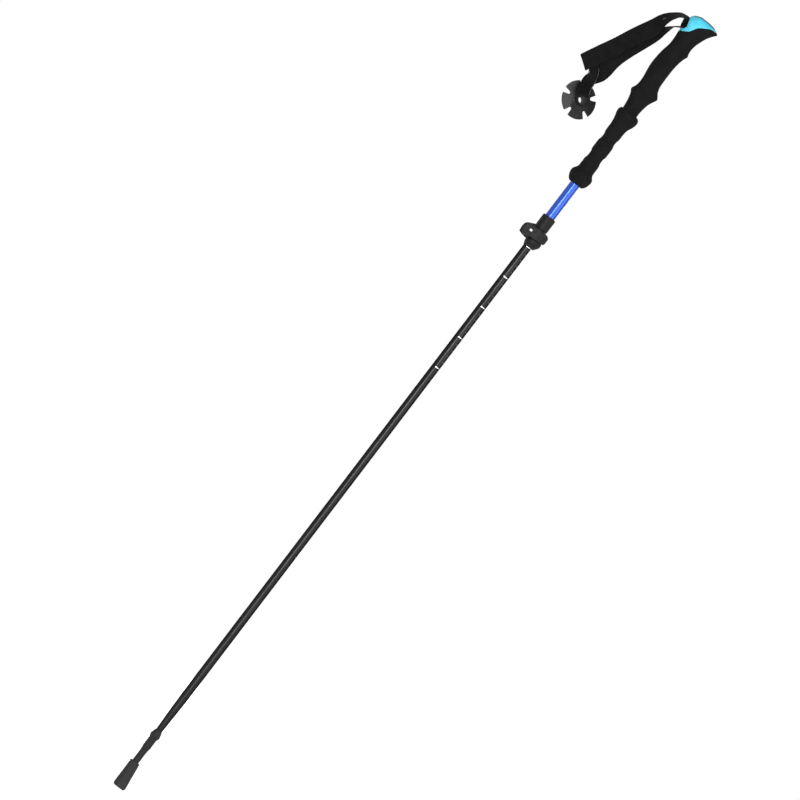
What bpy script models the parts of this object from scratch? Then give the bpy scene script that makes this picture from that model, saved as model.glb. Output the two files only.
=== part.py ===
"""Trail running pole: an adjustable two-section walking pole, modelled piece by piece.

The pole stands upright on +Z with its origin under the rubber foot, on the pole's axis.
+X is forward, the way the beak of the handle points. The wrist strap and the snow basket
that hangs on it are behind the handle, on -X. Lengths are in metres.
"""

import math

import bmesh
import bpy
from mathutils import Matrix, Vector

MM = 0.001

# Clearances
GAP = 0.3 * MM
SLIDE_CLEARANCE = 0.3 * MM

# Rubber foot
FOOT_HEIGHT = 40.5 * MM
FOOT_BASE_RADIUS = 9.3 * MM
FOOT_TOP_RADIUS = 7.3 * MM
FOOT_FORWARD_LEAN = 2.6 * MM
FOOT_SOLE = 8.0 * MM
FOOT_LIP_HEIGHT = 2.2 * MM
FOOT_GROOVE_DEPTH = 0.5 * MM

# Hard tip, its steel holder and the plastic ferrule
CARBIDE_RADIUS = 1.9 * MM
CARBIDE_LENGTH = 16.0 * MM
CARBIDE_EXPOSED = 4.0 * MM
HOLDER_RADIUS = 3.2 * MM
HOLDER_LENGTH = 26.0 * MM
HOLDER_EXPOSED = 6.0 * MM
FERRULE_NECK_RADIUS = 4.75 * MM
FERRULE_NECK_LENGTH = 44.0 * MM
FERRULE_THREAD_RADIUS = 5.9 * MM
FERRULE_THREAD_LENGTH = 17.5 * MM
FERRULE_THREAD_DEPTH = 0.4 * MM
FERRULE_THREAD_TURNS = 4
FLANGE_RADIUS = 7.3 * MM
FLANGE_HEIGHT = 12.5 * MM

# Lower shaft, a swaged aluminium tube
SHAFT_RADIUS = 6.0 * MM
SHAFT_WALL = 0.9 * MM
SHAFT_SWAGED_RADIUS = 4.45 * MM
SHAFT_SPIGOT_RADIUS = 4.2 * MM
SHAFT_SPIGOT_LENGTH = 22.0 * MM
SHAFT_TAPER_LENGTH = 58.0 * MM
SHAFT_EXPOSED = 806.7 * MM
SHAFT_OVERLAP = 64.0 * MM
PLUG_FLANGE = 4.0 * MM
PLUG_STEM = 12.0 * MM

# Upper tube
UPPER_WALL = 0.8 * MM
UPPER_EXPOSED = 55.5 * MM

# Lever lock
LOCK_CLAMP_HEIGHT = 27.3 * MM
LOCK_SLEEVE_HEIGHT = 21.5 * MM
LOCK_WALL = 2.6 * MM
SLEEVE_WALL = 2.3 * MM
LOCK_SLIT = 2.4 * MM
LOCK_SLIT_HEIGHT = 33.0 * MM
LEDGE_HEIGHT = 12.4 * MM
LEDGE_RADIUS = 11.5 * MM
LEDGE_FORWARD = 2.5 * MM
LEDGE_BELLY_RADIUS = 11.0 * MM
LEDGE_BELLY_FORWARD = 2.2 * MM
LEDGE_FOOT_RADIUS = 7.7 * MM
LEDGE_FOOT_FORWARD = 0.8 * MM
# The rest behind the lever's tab, on the ledge
LEVER_REST_SIDE = 1.2 * MM
LEVER_REST_WIDTH = 3.4 * MM
LEVER_REST_RISE = 2.6 * MM
LEVER_REST_REACH = 12.8 * MM
EAR_THICKNESS = 3.6 * MM
EAR_REACH = 23.0 * MM
BOLT_RADIUS = 1.5 * MM
BOLT_OUT = 17.8 * MM
BOLT_RISE = 17.3 * MM
LEVER_PIN_RADIUS = 1.6 * MM
LEVER_PIN_LENGTH = 14.0 * MM
LEVER_HUB_RADIUS = 4.4 * MM
LEVER_CLEARANCE = 1.0 * MM
LEVER_WALL = 2.6 * MM
LEVER_EYE_HEIGHT = 5.6 * MM
LEVER_TAB_FLARE = 4.4 * MM
NUT_RADIUS = 4.8 * MM
NUT_THICKNESS = 4.5 * MM
NUT_GROOVES = 12
WASHER_THICKNESS = 1.0 * MM
WASHER_RADIUS = 4.0 * MM

# Handle
LOWER_GRIP_LENGTH = 116.5 * MM
GRIP_LIP = 2.7 * MM
GRIP_SOCKET_RADIUS = 11.9 * MM
HEAD_PLUG_FLANGE = 3.0 * MM
HEAD_PLUG_STEM = 14.0 * MM
TUBE_IN_UPPER_GRIP = 116.0 * MM
CAP_SCREW_RADIUS = 1.8 * MM
CAP_SCREW_HEAD_RADIUS = 3.6 * MM
CAP_SCREW_HEAD = 2.4 * MM
CREST_PAD_WIDTH = 16.0 * MM
CREST_PAD_THICKNESS = 1.2 * MM

# Wrist strap
STRAP_WIDTH = 23.0 * MM
STRAP_THICKNESS = 1.3 * MM
STRAP_PIN_RADIUS = 1.5 * MM
STRAP_PIN_LENGTH = 22.0 * MM
STRAP_PIN_X = -5.6 * MM
STRAP_ANCHOR_WIDTH = 18.0 * MM
STRAP_ANCHOR_REACH = 2.2 * MM
STRAP_PIN_RISE = 138.2 * MM

# Snow basket and the elastic keeper that ties it to the strap
BASKET_RADIUS = 26.2 * MM
BASKET_THICKNESS = 1.8 * MM
BASKET_RISE = 1.6 * MM
BASKET_BORE_RADIUS = 5.1 * MM
BASKET_BOSS_RADIUS = 11.5 * MM
BASKET_HUB_RADIUS = 7.5 * MM
BASKET_HUB_TOP = 8.2 * MM
BASKET_COLLAR_RADIUS = 7.0 * MM
BASKET_COLLAR_LOW = -3.0 * MM
BASKET_NOTCHES = 5
BASKET_NOTCH_DEPTH = 10.0 * MM
BASKET_NOTCH_WIDTH = 4.4 * MM
BASKET_NOTCH_MOUTH = 8.6 * MM
BASKET_NOTCH_TURN = math.radians(4.0)
BASKET_LEAN = math.radians(37.29)
BASKET_TILT = math.radians(28.0)
KEEPER_RADIUS = 0.8 * MM
KEEPER_PLACE = 22.4 * MM

# How far the cutters of the handle's head reach past it
HEAD_CUT = 30.0 * MM

# Faces round a turned piece, the basket, a soft handle piece and a small pin
ROUND = 32
BASKET_ROUND = 60
SOFT_ROUND = 32
SMALL_ROUND = 16
# Steps between two rows of an outline and between two points of a seam
OUTLINE_STEPS = 2
LINE_STEPS = 3

# Heights along the pole, each from the piece below it
NOSE_Z = FOOT_SOLE + CARBIDE_EXPOSED + HOLDER_EXPOSED
THREAD_Z = NOSE_Z + FERRULE_NECK_LENGTH
FLANGE_Z = THREAD_Z + FERRULE_THREAD_LENGTH
FERRULE_TOP = FLANGE_Z + FLANGE_HEIGHT
LOCK_BOTTOM = FERRULE_TOP + SHAFT_EXPOSED
CLAMP_TOP = LOCK_BOTTOM + LOCK_CLAMP_HEIGHT
LOCK_TOP = CLAMP_TOP + LOCK_SLEEVE_HEIGHT
SHAFT_TOP = CLAMP_TOP + SHAFT_OVERLAP
GRIP_BOTTOM = LOCK_TOP + UPPER_EXPOSED
UPPER_GRIP_BOTTOM = GRIP_BOTTOM + LOWER_GRIP_LENGTH
UPPER_TUBE_TOP = UPPER_GRIP_BOTTOM + TUBE_IN_UPPER_GRIP
HEAD_PLUG_TOP = UPPER_TUBE_TOP + GAP + HEAD_PLUG_FLANGE
STRAP_PIN_Z = UPPER_GRIP_BOTTOM + STRAP_PIN_RISE
BOLT_Z = LOCK_BOTTOM + BOLT_RISE

# Radii that follow from the tubes
UPPER_BORE = SHAFT_RADIUS + SLIDE_CLEARANCE
UPPER_RADIUS = UPPER_BORE + UPPER_WALL
SLEEVE_BORE = UPPER_RADIUS + GAP
SLEEVE_RADIUS = SLEEVE_BORE + SLEEVE_WALL
CLAMP_BORE = SHAFT_RADIUS + SLIDE_CLEARANCE
CLAMP_RADIUS = CLAMP_BORE + LOCK_WALL
GRIP_BORE = UPPER_RADIUS + GAP

# The ears and the lever seen from the side: forward of the axis, height over the lock's lower end
EAR_OUTLINE = [
    (-5.0, 7.8),
    (-8.8, 7.8),
    (-16.5, 8.9),
    (-20.8, 11.2),
    (-22.4, 15.0),
    (-22.4, 20.6),
    (-20.0, 25.5),
    (-14.2, 28.4),
    (-10.0, 30.4),
    (-5.0, 31.2),
]
LEVER_OUTLINE = [
    (-23.3, 13.6),
    (-20.9, 10.1),
    (-15.6, 9.3),
    (-9.6, 10.2),
    (-4.6, 12.7),
    (0.0, 12.8),
    (8.0, 12.8),
    (13.2, 12.9),
    (15.7, 14.9),
    (17.0, 20.2),
    (14.6, 25.4),
    (10.2, 27.2),
    (4.0, 27.3),
    (-2.6, 27.3),
    (-8.6, 26.9),
    (-14.2, 26.8),
    (-20.2, 24.7),
    (-23.3, 20.0),
]
# The window between hub and clamp, low corner and high corner in the same view
LOCK_WINDOW = [(-11.3, 18.5), (-7.7, 21.9)]

# The handle's side outline: height over the lower end, reach back, reach forward, half width
LOWER_GRIP_OUTLINE = [
    (0.0, 9.8, 9.8, 9.8),
    (1.4, 11.8, 11.8, 11.6),
    (4.6, 14.0, 14.0, 13.6),
    (8.6, 15.6, 15.4, 15.0),
    (12.6, 16.3, 16.1, 15.6),
    (16.2, 15.6, 15.8, 15.2),
    (19.6, 13.2, 13.3, 13.0),
    (22.6, 11.7, 11.8, 11.6),
    (27.0, 11.4, 11.5, 11.3),
    (36.0, 11.4, 11.4, 11.2),
    (40.0, 10.3, 10.4, 10.2),
    (44.5, 10.0, 10.0, 9.9),
    (49.0, 10.3, 10.3, 10.2),
    (52.5, 11.4, 11.3, 11.2),
    (66.0, 11.4, 11.3, 11.2),
    (70.0, 10.4, 10.4, 10.3),
    (74.0, 10.1, 10.0, 10.0),
    (78.0, 10.4, 10.5, 10.4),
    (82.0, 11.4, 11.3, 11.2),
    (92.0, 11.5, 11.5, 11.4),
    (98.0, 12.0, 12.6, 12.0),
    (104.0, 13.1, 15.2, 13.4),
    (109.0, 14.6, 16.9, 14.8),
    (113.0, 15.2, 17.2, 15.4),
    (115.4, 15.1, 16.8, 15.3),
    (117.2, 14.5, 15.5, 14.7),
    (118.5, 13.5, 13.9, 13.6),
    (119.2, 12.6, 12.7, 12.6),
]
UPPER_GRIP_OUTLINE = [
    (0.3, 10.9, 10.9, 11.2, 0.0),
    (4.0, 11.4, 11.2, 11.6, 0.0),
    (11.0, 12.1, 11.3, 12.0, 0.02),
    (19.0, 13.6, 12.3, 12.8, 0.05),
    (25.0, 15.4, 13.7, 13.4, 0.08),
    (28.5, 17.6, 15.0, 13.8, 0.10),
    (31.0, 18.0, 16.2, 13.9, 0.11),
    (34.5, 16.4, 18.0, 13.7, 0.12),
    (37.8, 15.2, 19.3, 13.4, 0.12),
    (41.0, 14.6, 17.6, 13.1, 0.10),
    (46.0, 14.3, 14.2, 12.8, 0.07),
    (53.0, 14.8, 12.1, 12.8, 0.04),
    (61.0, 16.0, 11.5, 13.2, 0.03),
    (70.0, 17.1, 11.4, 13.5, 0.03),
    (79.0, 17.1, 11.5, 13.4, 0.03),
    (87.0, 16.6, 11.9, 13.1, 0.05),
    (95.0, 15.7, 13.0, 12.7, 0.08),
    (102.0, 14.3, 14.8, 12.5, 0.12),
    (107.2, 13.4, 16.9, 12.4, 0.15),
    (110.4, 13.2, 15.9, 12.3, 0.15),
    (114.6, 13.1, 15.2, 12.4, 0.16),
    (120.0, 13.4, 15.2, 12.7, 0.18),
    (127.0, 14.0, 16.5, 13.1, 0.22),
    (134.0, 14.2, 18.9, 13.5, 0.28),
    (141.0, 13.9, 21.7, 13.8, 0.36),
    (147.0, 13.5, 25.3, 13.6, 0.44),
    (151.5, 12.8, 28.8, 12.9, 0.52),
    (154.0, 12.0, 30.7, 12.2, 0.58),
    (156.6, 9.8, 28.0, 11.0, 0.56),
    (158.6, 6.5, 23.8, 9.0, 0.50),
    (160.1, 2.6, 18.8, 6.4, 0.42),
    (160.8, 0.2, 13.0, 3.2, 0.30),
]
# Where the cap sits on the foam, seen from the side: forward of the axis, height over the lower end
CAP_SEAM = [
    (-20.0, 129.4),
    (-13.2, 129.6),
    (-8.1, 131.4),
    (-2.4, 134.7),
    (1.1, 140.5),
    (5.1, 146.0),
    (11.7, 150.5),
    (17.9, 154.3),
    (23.9, 155.7),
    (28.6, 156.1),
    (40.0, 156.6),
]
# The crest's top edge under the soft pad
CREST_LINE = [
    (-9.6, 156.6),
    (-5.5, 159.2),
    (2.4, 160.8),
    (12.5, 160.8),
    (19.0, 160.1),
    (24.0, 158.6),
]
# The notch behind the cap where the strap comes out
STRAP_NOTCH = [
    (-24.0, 151.6),
    (-12.3, 151.6),
    (-8.6, 139.3),
    (-8.6, 137.6),
    (-13.1, 132.9),
    (-24.0, 130.5),
]


def clear_scene():
    for old in list(bpy.data.objects):
        bpy.data.objects.remove(old, do_unlink=True)


def new_collection(name):
    collection = bpy.data.collections.new(name)
    bpy.context.scene.collection.children.link(collection)
    return collection


def principled(name, colour, roughness, metallic=0.0):
    material = bpy.data.materials.new(name)
    material.use_nodes = True
    shader = material.node_tree.nodes["Principled BSDF"]
    shader.inputs["Base Color"].default_value = (*colour, 1.0)
    shader.inputs["Roughness"].default_value = roughness
    shader.inputs["Metallic"].default_value = metallic
    return material


def place_mesh(name, mesh, collection, material=None):
    piece = bpy.data.objects.new(name, mesh)
    collection.objects.link(piece)
    if material is not None:
        mesh.materials.append(material)
    return piece


def finish_mesh(bm, name, collection, material=None, sharp=35.0):
    bmesh.ops.recalc_face_normals(bm, faces=bm.faces)
    mesh = bpy.data.meshes.new(name)
    bm.to_mesh(mesh)
    bm.free()
    mesh.shade_smooth()
    mesh.set_sharp_from_angle(angle=math.radians(sharp))
    return place_mesh(name, mesh, collection, material)


def as_cutter(piece):
    piece.hide_render = True
    piece.display_type = "WIRE"
    return piece


def turned(name, outline, collection, material=None, steps=ROUND, closed=False):
    """Spin an outline of (radius, height) points, running down its outer side, about Z."""
    mesh = bpy.data.meshes.new(name)
    points = [(radius, 0.0, height) for radius, height in outline]
    edges = [(i, i + 1) for i in range(len(points) - 1)]
    if closed:
        edges.append((len(points) - 1, 0))
    mesh.from_pydata(points, edges, [])
    piece = place_mesh(name, mesh, collection, material)
    screw = piece.modifiers.new("spin", "SCREW")
    screw.axis = "Z"
    screw.angle = math.tau
    screw.steps = steps
    screw.render_steps = steps
    screw.use_merge_vertices = True
    screw.merge_threshold = 0.00001
    screw.use_smooth_shade = True
    return piece


def baked(piece):
    """Replace a piece's modifiers by the mesh they make."""
    graph = bpy.context.evaluated_depsgraph_get()
    mesh = bpy.data.meshes.new_from_object(piece.evaluated_get(graph))
    piece.modifiers.clear()
    piece.data = mesh
    mesh.shade_smooth()
    mesh.set_sharp_from_angle(angle=math.radians(35.0))
    return piece


def cylinder(name, radius, start, end, collection, material=None, steps=SMALL_ROUND):
    """A plain round bar between two points."""
    start, end = Vector(start), Vector(end)
    bm = bmesh.new()
    bmesh.ops.create_cone(
        bm, cap_ends=True, segments=steps, radius1=radius, radius2=radius, depth=(end - start).length
    )
    turn = Vector((0, 0, 1)).rotation_difference(end - start).to_matrix().to_4x4()
    bmesh.ops.transform(bm, matrix=Matrix.Translation((start + end) / 2) @ turn, verts=bm.verts)
    return finish_mesh(bm, name, collection, material)


def box(name, low, high, collection, material=None):
    low, high = Vector(low), Vector(high)
    bm = bmesh.new()
    bmesh.ops.create_cube(bm, size=1.0)
    bmesh.ops.scale(bm, vec=high - low, verts=bm.verts)
    bmesh.ops.translate(bm, vec=(low + high) / 2, verts=bm.verts)
    return finish_mesh(bm, name, collection, material)


def side_prism(name, points, half_depth, collection, material=None):
    """An outline of (x, z) points in the side view, as thick as half_depth on both sides of the pole."""
    bm = bmesh.new()
    face = bm.faces.new([bm.verts.new((x, -half_depth, z)) for x, z in points])
    grown = bmesh.ops.extrude_face_region(bm, geom=[face])
    moved = [v for v in grown["geom"] if isinstance(v, bmesh.types.BMVert)]
    bmesh.ops.translate(bm, vec=(0, 2 * half_depth, 0), verts=moved)
    return finish_mesh(bm, name, collection, material)


def plan_prism(name, points, low, high, collection, material=None):
    """An outline of (x, y) points seen from above, from one height to another."""
    bm = bmesh.new()
    face = bm.faces.new([bm.verts.new((x, y, low)) for x, y in points])
    grown = bmesh.ops.extrude_face_region(bm, geom=[face])
    moved = [v for v in grown["geom"] if isinstance(v, bmesh.types.BMVert)]
    bmesh.ops.translate(bm, vec=(0, 0, high - low), verts=moved)
    return finish_mesh(bm, name, collection, material)


def lofted(name, rings, collection, material=None):
    """Skin equal rings of points, with both ends closed."""
    bm = bmesh.new()
    rows = [[bm.verts.new(point) for point in ring] for ring in rings]
    count = len(rows[0])
    for below, above in zip(rows, rows[1:]):
        for i in range(count):
            j = (i + 1) % count
            bm.faces.new((below[i], below[j], above[j], above[i]))
    bm.faces.new(rows[0])
    bm.faces.new(rows[-1])
    return finish_mesh(bm, name, collection, material)


def boolean(piece, cutter, operation="DIFFERENCE"):
    modifier = piece.modifiers.new(operation.lower(), "BOOLEAN")
    modifier.operation = operation
    modifier.solver = "EXACT"
    modifier.object = as_cutter(cutter)
    return piece


def put_origin(piece, place):
    """Move a piece's origin to a place on its joint's axis; the piece itself stays where it is."""
    piece.data.transform(Matrix.Translation(-Vector(place)))
    piece.matrix_world = Matrix.Translation(Vector(place))
    return piece


def handle_ring(height, back, front, half_width, narrowing=0.0):
    """One level section of the handle, rounder behind and drawn in towards the front."""
    ring = []
    for i in range(SOFT_ROUND):
        angle = math.tau * i / SOFT_ROUND
        across, along = math.sin(angle), math.cos(angle)
        reach = front if along > 0.0 else back
        drawn_in = 1.0 - narrowing * max(0.0, along) ** 1.5
        ring.append((reach * along, half_width * across * drawn_in, height))
    return ring


def smooth_rows(rows, steps):
    """More rows of numbers on a smooth curve through the given ones."""
    out = []
    for i in range(len(rows) - 1):
        four = [rows[min(max(k, 0), len(rows) - 1)] for k in (i - 1, i, i + 1, i + 2)]
        for k in range(steps):
            out.append(tuple(through(*column, k / steps) for column in zip(*four)))
    out.append(rows[-1])
    return out


def smooth_loop(points, steps):
    """More points on a smooth curve that runs through the given ones and closes on itself."""
    wrapped = [points[-1], *points, points[0], points[1]]
    return smooth_rows(wrapped, steps)[steps : -steps - 1]


def rubber_foot(parts, cutters, rubber):
    lip = FOOT_HEIGHT - FOOT_LIP_HEIGHT
    groove_bottom = lip - 1.6 * MM
    outline = [
        (0.0, FOOT_HEIGHT),
        (FOOT_TOP_RADIUS - 0.4 * MM, FOOT_HEIGHT),
        (FOOT_TOP_RADIUS, FOOT_HEIGHT - 0.5 * MM),
        (FOOT_TOP_RADIUS, lip),
        (FOOT_TOP_RADIUS - FOOT_GROOVE_DEPTH, lip - 0.5 * MM),
        (FOOT_TOP_RADIUS - FOOT_GROOVE_DEPTH, groove_bottom + 0.4 * MM),
        (FOOT_TOP_RADIUS, groove_bottom),
        (FOOT_BASE_RADIUS - 1.1 * MM, FOOT_HEIGHT * 0.5),
        (FOOT_BASE_RADIUS - 0.2 * MM, FOOT_HEIGHT * 0.2),
        (FOOT_BASE_RADIUS, 4.0 * MM),
        (FOOT_BASE_RADIUS - 0.4 * MM, 1.4 * MM),
        (FOOT_BASE_RADIUS - 1.5 * MM, 0.0),
        (0.0, 0.0),
    ]
    foot = baked(turned("rubber_foot", outline, parts, rubber))
    for vertex in foot.data.vertices:
        vertex.co.x += FOOT_FORWARD_LEAN * (1.0 - vertex.co.z / FOOT_HEIGHT)
    over = FOOT_HEIGHT + 5.0 * MM
    socket = [
        (0.0, over),
        (FERRULE_NECK_RADIUS + GAP, over),
        (FERRULE_NECK_RADIUS + GAP, NOSE_Z - GAP),
        (HOLDER_RADIUS + GAP, NOSE_Z - GAP),
        (HOLDER_RADIUS + GAP, NOSE_Z - HOLDER_EXPOSED - GAP),
        (CARBIDE_RADIUS + GAP, NOSE_Z - HOLDER_EXPOSED - GAP),
        (CARBIDE_RADIUS + GAP, FOOT_SOLE - GAP),
        (0.0, FOOT_SOLE - GAP),
    ]
    boolean(foot, turned("foot_socket", socket, cutters))


def hard_tip(parts, carbide, steel):
    low = NOSE_Z - HOLDER_EXPOSED - CARBIDE_EXPOSED
    top = low + CARBIDE_LENGTH
    cup = CARBIDE_RADIUS * 0.6
    turned(
        "carbide_tip",
        [(0.0, top), (CARBIDE_RADIUS, top), (CARBIDE_RADIUS, low), (cup, low), (0.0, low + cup)],
        parts, carbide, SMALL_ROUND,
    )
    holder_low = NOSE_Z - HOLDER_EXPOSED
    holder_top = holder_low + HOLDER_LENGTH
    bore = CARBIDE_RADIUS + GAP
    bore_top = top + GAP
    turned(
        "tip_holder",
        [
            (0.0, holder_top),
            (HOLDER_RADIUS, holder_top),
            (HOLDER_RADIUS, holder_low + 0.6 * MM),
            (HOLDER_RADIUS - 0.6 * MM, holder_low),
            (bore, holder_low),
            (bore, bore_top),
            (0.0, bore_top),
        ],
        parts, steel, SMALL_ROUND,
    )


def tip_ferrule(parts, plastic):
    socket = SHAFT_SPIGOT_RADIUS + GAP
    socket_low = FERRULE_TOP - SHAFT_SPIGOT_LENGTH - GAP
    holder_bore = HOLDER_RADIUS + GAP
    holder_top = NOSE_Z - HOLDER_EXPOSED + HOLDER_LENGTH + GAP
    crest = FERRULE_THREAD_RADIUS
    root = crest - FERRULE_THREAD_DEPTH
    outline = [
        (socket, FERRULE_TOP),
        (SHAFT_SWAGED_RADIUS + 0.7 * MM, FERRULE_TOP),
        (FLANGE_RADIUS - 0.9 * MM, FLANGE_Z + 0.62 * FLANGE_HEIGHT),
        (FLANGE_RADIUS, FLANGE_Z + 0.40 * FLANGE_HEIGHT),
        (FLANGE_RADIUS, FLANGE_Z + 0.30 * FLANGE_HEIGHT),
        (crest + 0.1 * MM, FLANGE_Z),
    ]
    pitch = (FERRULE_THREAD_LENGTH - 4.0 * MM) / FERRULE_THREAD_TURNS
    for turn in range(FERRULE_THREAD_TURNS):
        high = FLANGE_Z - turn * pitch
        outline.append((root, high - 0.25 * pitch))
        outline.append((root, high - 0.45 * pitch))
        outline.append((crest, high - 0.70 * pitch))
        outline.append((crest, high - 0.95 * pitch))
    outline += [
        (FERRULE_NECK_RADIUS + 0.35 * MM, THREAD_Z),
        (FERRULE_NECK_RADIUS, THREAD_Z - 6.0 * MM),
        (FERRULE_NECK_RADIUS, NOSE_Z + 0.6 * MM),
        (FERRULE_NECK_RADIUS - 0.6 * MM, NOSE_Z),
        (holder_bore, NOSE_Z),
        (holder_bore, holder_top),
        (0.0, holder_top),
    ]
    # The middle of the ferrule is solid, so the outline goes round the outside from the upper
    # socket's floor to the lower bore's end, and both ends meet the axis.
    outline = [(0.0, socket_low), (socket, socket_low)] + outline
    turned("tip_ferrule", outline, parts, plastic)


def lower_shaft(parts, anodised, plastic):
    low = FERRULE_TOP - SHAFT_SPIGOT_LENGTH
    taper_low = FERRULE_TOP + GAP
    taper_top = taper_low + SHAFT_TAPER_LENGTH
    inner = SHAFT_RADIUS - SHAFT_WALL
    middle = 0.72 * SHAFT_RADIUS + 0.28 * SHAFT_SWAGED_RADIUS
    outline = [
        (SHAFT_RADIUS, SHAFT_TOP),
        (SHAFT_RADIUS, taper_top),
        (middle, taper_low + 0.62 * SHAFT_TAPER_LENGTH),
        (SHAFT_SWAGED_RADIUS, taper_low),
        (SHAFT_SPIGOT_RADIUS, taper_low - GAP / 2),
        (SHAFT_SPIGOT_RADIUS, low),
        (SHAFT_SPIGOT_RADIUS - SHAFT_WALL, low),
        (SHAFT_SPIGOT_RADIUS - SHAFT_WALL, taper_low),
        (middle - SHAFT_WALL, taper_low + 0.62 * SHAFT_TAPER_LENGTH),
        (inner, taper_top),
        (inner, SHAFT_TOP),
    ]
    turned("lower_shaft", outline, parts, anodised, closed=True)
    stem = inner - GAP
    base = SHAFT_TOP + GAP
    turned(
        "shaft_guide_plug",
        [
            (0.0, base + PLUG_FLANGE),
            (SHAFT_RADIUS - 0.6 * MM, base + PLUG_FLANGE),
            (SHAFT_RADIUS, base + PLUG_FLANGE - 0.6 * MM),
            (SHAFT_RADIUS, base),
            (stem, base),
            (stem, base - PLUG_STEM),
            (0.0, base - PLUG_STEM),
        ],
        parts, plastic,
    )


def upper_tube(parts, blue, plastic):
    low = CLAMP_TOP + GAP
    turned(
        "upper_tube",
        [(UPPER_RADIUS, UPPER_TUBE_TOP), (UPPER_RADIUS, low), (UPPER_BORE, low), (UPPER_BORE, UPPER_TUBE_TOP)],
        parts, blue, closed=True,
    )
    base = UPPER_TUBE_TOP + GAP
    stem = UPPER_BORE - GAP
    hole = CAP_SCREW_RADIUS + GAP
    turned(
        "tube_top_plug",
        [
            (UPPER_RADIUS, HEAD_PLUG_TOP),
            (UPPER_RADIUS, base),
            (stem, base),
            (stem, base - HEAD_PLUG_STEM),
            (hole, base - HEAD_PLUG_STEM),
            (hole, HEAD_PLUG_TOP),
        ],
        parts, plastic, closed=True,
    )


def lock_points(outline):
    """An outline given over the lock's lower end, in metres over the ground."""
    return [(x * MM, LOCK_BOTTOM + z * MM) for x, z in outline]


def lock_window(name, cutters):
    (low_x, low_z), (high_x, high_z) = lock_points(LOCK_WINDOW)
    return box(name, (low_x, -EAR_REACH, low_z), (high_x, EAR_REACH, high_z), cutters)


def lock_body(parts, cutters, plastic):
    """A sleeve on the upper tube over a slit clamp on the lower shaft, with two ears behind."""
    outline = [
        (0.0, LOCK_TOP),
        (SLEEVE_RADIUS - 0.9 * MM, LOCK_TOP),
        (SLEEVE_RADIUS, LOCK_TOP - 1.0 * MM),
        (SLEEVE_RADIUS, CLAMP_TOP + 1.4 * MM),
        (CLAMP_RADIUS, CLAMP_TOP + 0.4 * MM),
        (CLAMP_RADIUS, LOCK_BOTTOM + LEDGE_HEIGHT / 2),
        (0.0, LOCK_BOTTOM + LEDGE_HEIGHT / 2),
    ]
    body = turned("lock_body", outline, parts, plastic)
    ledge_top = LOCK_BOTTOM + LEDGE_HEIGHT
    ledge = [
        (LEDGE_FOOT_FORWARD, LEDGE_FOOT_RADIUS, LOCK_BOTTOM),
        (LEDGE_BELLY_FORWARD, LEDGE_BELLY_RADIUS, LOCK_BOTTOM + LEDGE_HEIGHT / 2),
        (LEDGE_FORWARD, LEDGE_RADIUS, ledge_top - 1.6 * MM),
        (LEDGE_FORWARD, LEDGE_RADIUS - 0.7 * MM, ledge_top),
    ]
    rings = []
    for forward, radius, height in smooth_rows(ledge, LINE_STEPS):
        turns = [math.tau * i / ROUND for i in range(ROUND)]
        rings.append([(forward + radius * math.cos(a), radius * math.sin(a), height) for a in turns])
    boolean(body, lofted("lock_ledge", rings, cutters), "UNION")
    rest = box(
        "lever_rest",
        (CLAMP_RADIUS - LOCK_WALL / 2, LEVER_REST_SIDE, ledge_top - LEVER_REST_RISE),
        (LEVER_REST_REACH, LEVER_REST_SIDE + LEVER_REST_WIDTH, ledge_top + LEVER_REST_RISE),
        cutters,
    )
    boolean(body, rest, "UNION")
    half = LOCK_SLIT / 2 + EAR_THICKNESS
    ears = lock_points(smooth_rows(EAR_OUTLINE, LINE_STEPS))
    boolean(body, side_prism("lock_ears", ears, half, cutters), "UNION")
    over = 5.0 * MM
    bore = [
        (0.0, LOCK_TOP + over),
        (SLEEVE_BORE, LOCK_TOP + over),
        (SLEEVE_BORE, CLAMP_TOP),
        (CLAMP_BORE, CLAMP_TOP),
        (CLAMP_BORE, LOCK_BOTTOM - over),
        (0.0, LOCK_BOTTOM - over),
    ]
    boolean(body, turned("lock_bore", bore, cutters))
    slit = box(
        "lock_slit",
        (-EAR_REACH - over, -LOCK_SLIT / 2, LOCK_BOTTOM - over),
        (0.0, LOCK_SLIT / 2, LOCK_BOTTOM + LOCK_SLIT_HEIGHT),
        cutters,
    )
    boolean(body, slit)
    boolean(body, lock_window("ear_window", cutters))
    hole = cylinder(
        "lock_bolt_hole",
        BOLT_RADIUS + GAP,
        (-BOLT_OUT, -EAR_REACH, BOLT_Z),
        (-BOLT_OUT, EAR_REACH, BOLT_Z),
        cutters,
    )
    boolean(body, hole)


def lever_pin_place():
    """Where the lever's pin stands, seen from above."""
    return Vector((-BOLT_OUT, -(LOCK_SLIT / 2 + EAR_THICKNESS + GAP + LEVER_HUB_RADIUS)))


def lever_plan():
    """The lever seen from above: from its hub it wraps round the clamp and flares at its tab."""
    pin = lever_pin_place()
    inner = CLAMP_RADIUS + LEVER_CLEARANCE
    outer = inner + LEVER_WALL
    front = pin.y - LEVER_HUB_RADIUS
    outside = [(pin.x, front)]
    inside = [(pin.x, front + LEVER_WALL)]
    steps = 14
    for i in range(steps + 1):
        share = i / steps
        angle = math.radians(-100.0 + 84.0 * share)
        lift = LEVER_TAB_FLARE * (max(0.0, share - 0.5) / 0.5) ** 1.5
        far, near = outer + lift, inner + 0.8 * lift
        outside.append((far * math.cos(angle), far * math.sin(angle)))
        inside.append((near * math.cos(angle), near * math.sin(angle)))
    return outside + inside[::-1]


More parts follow.
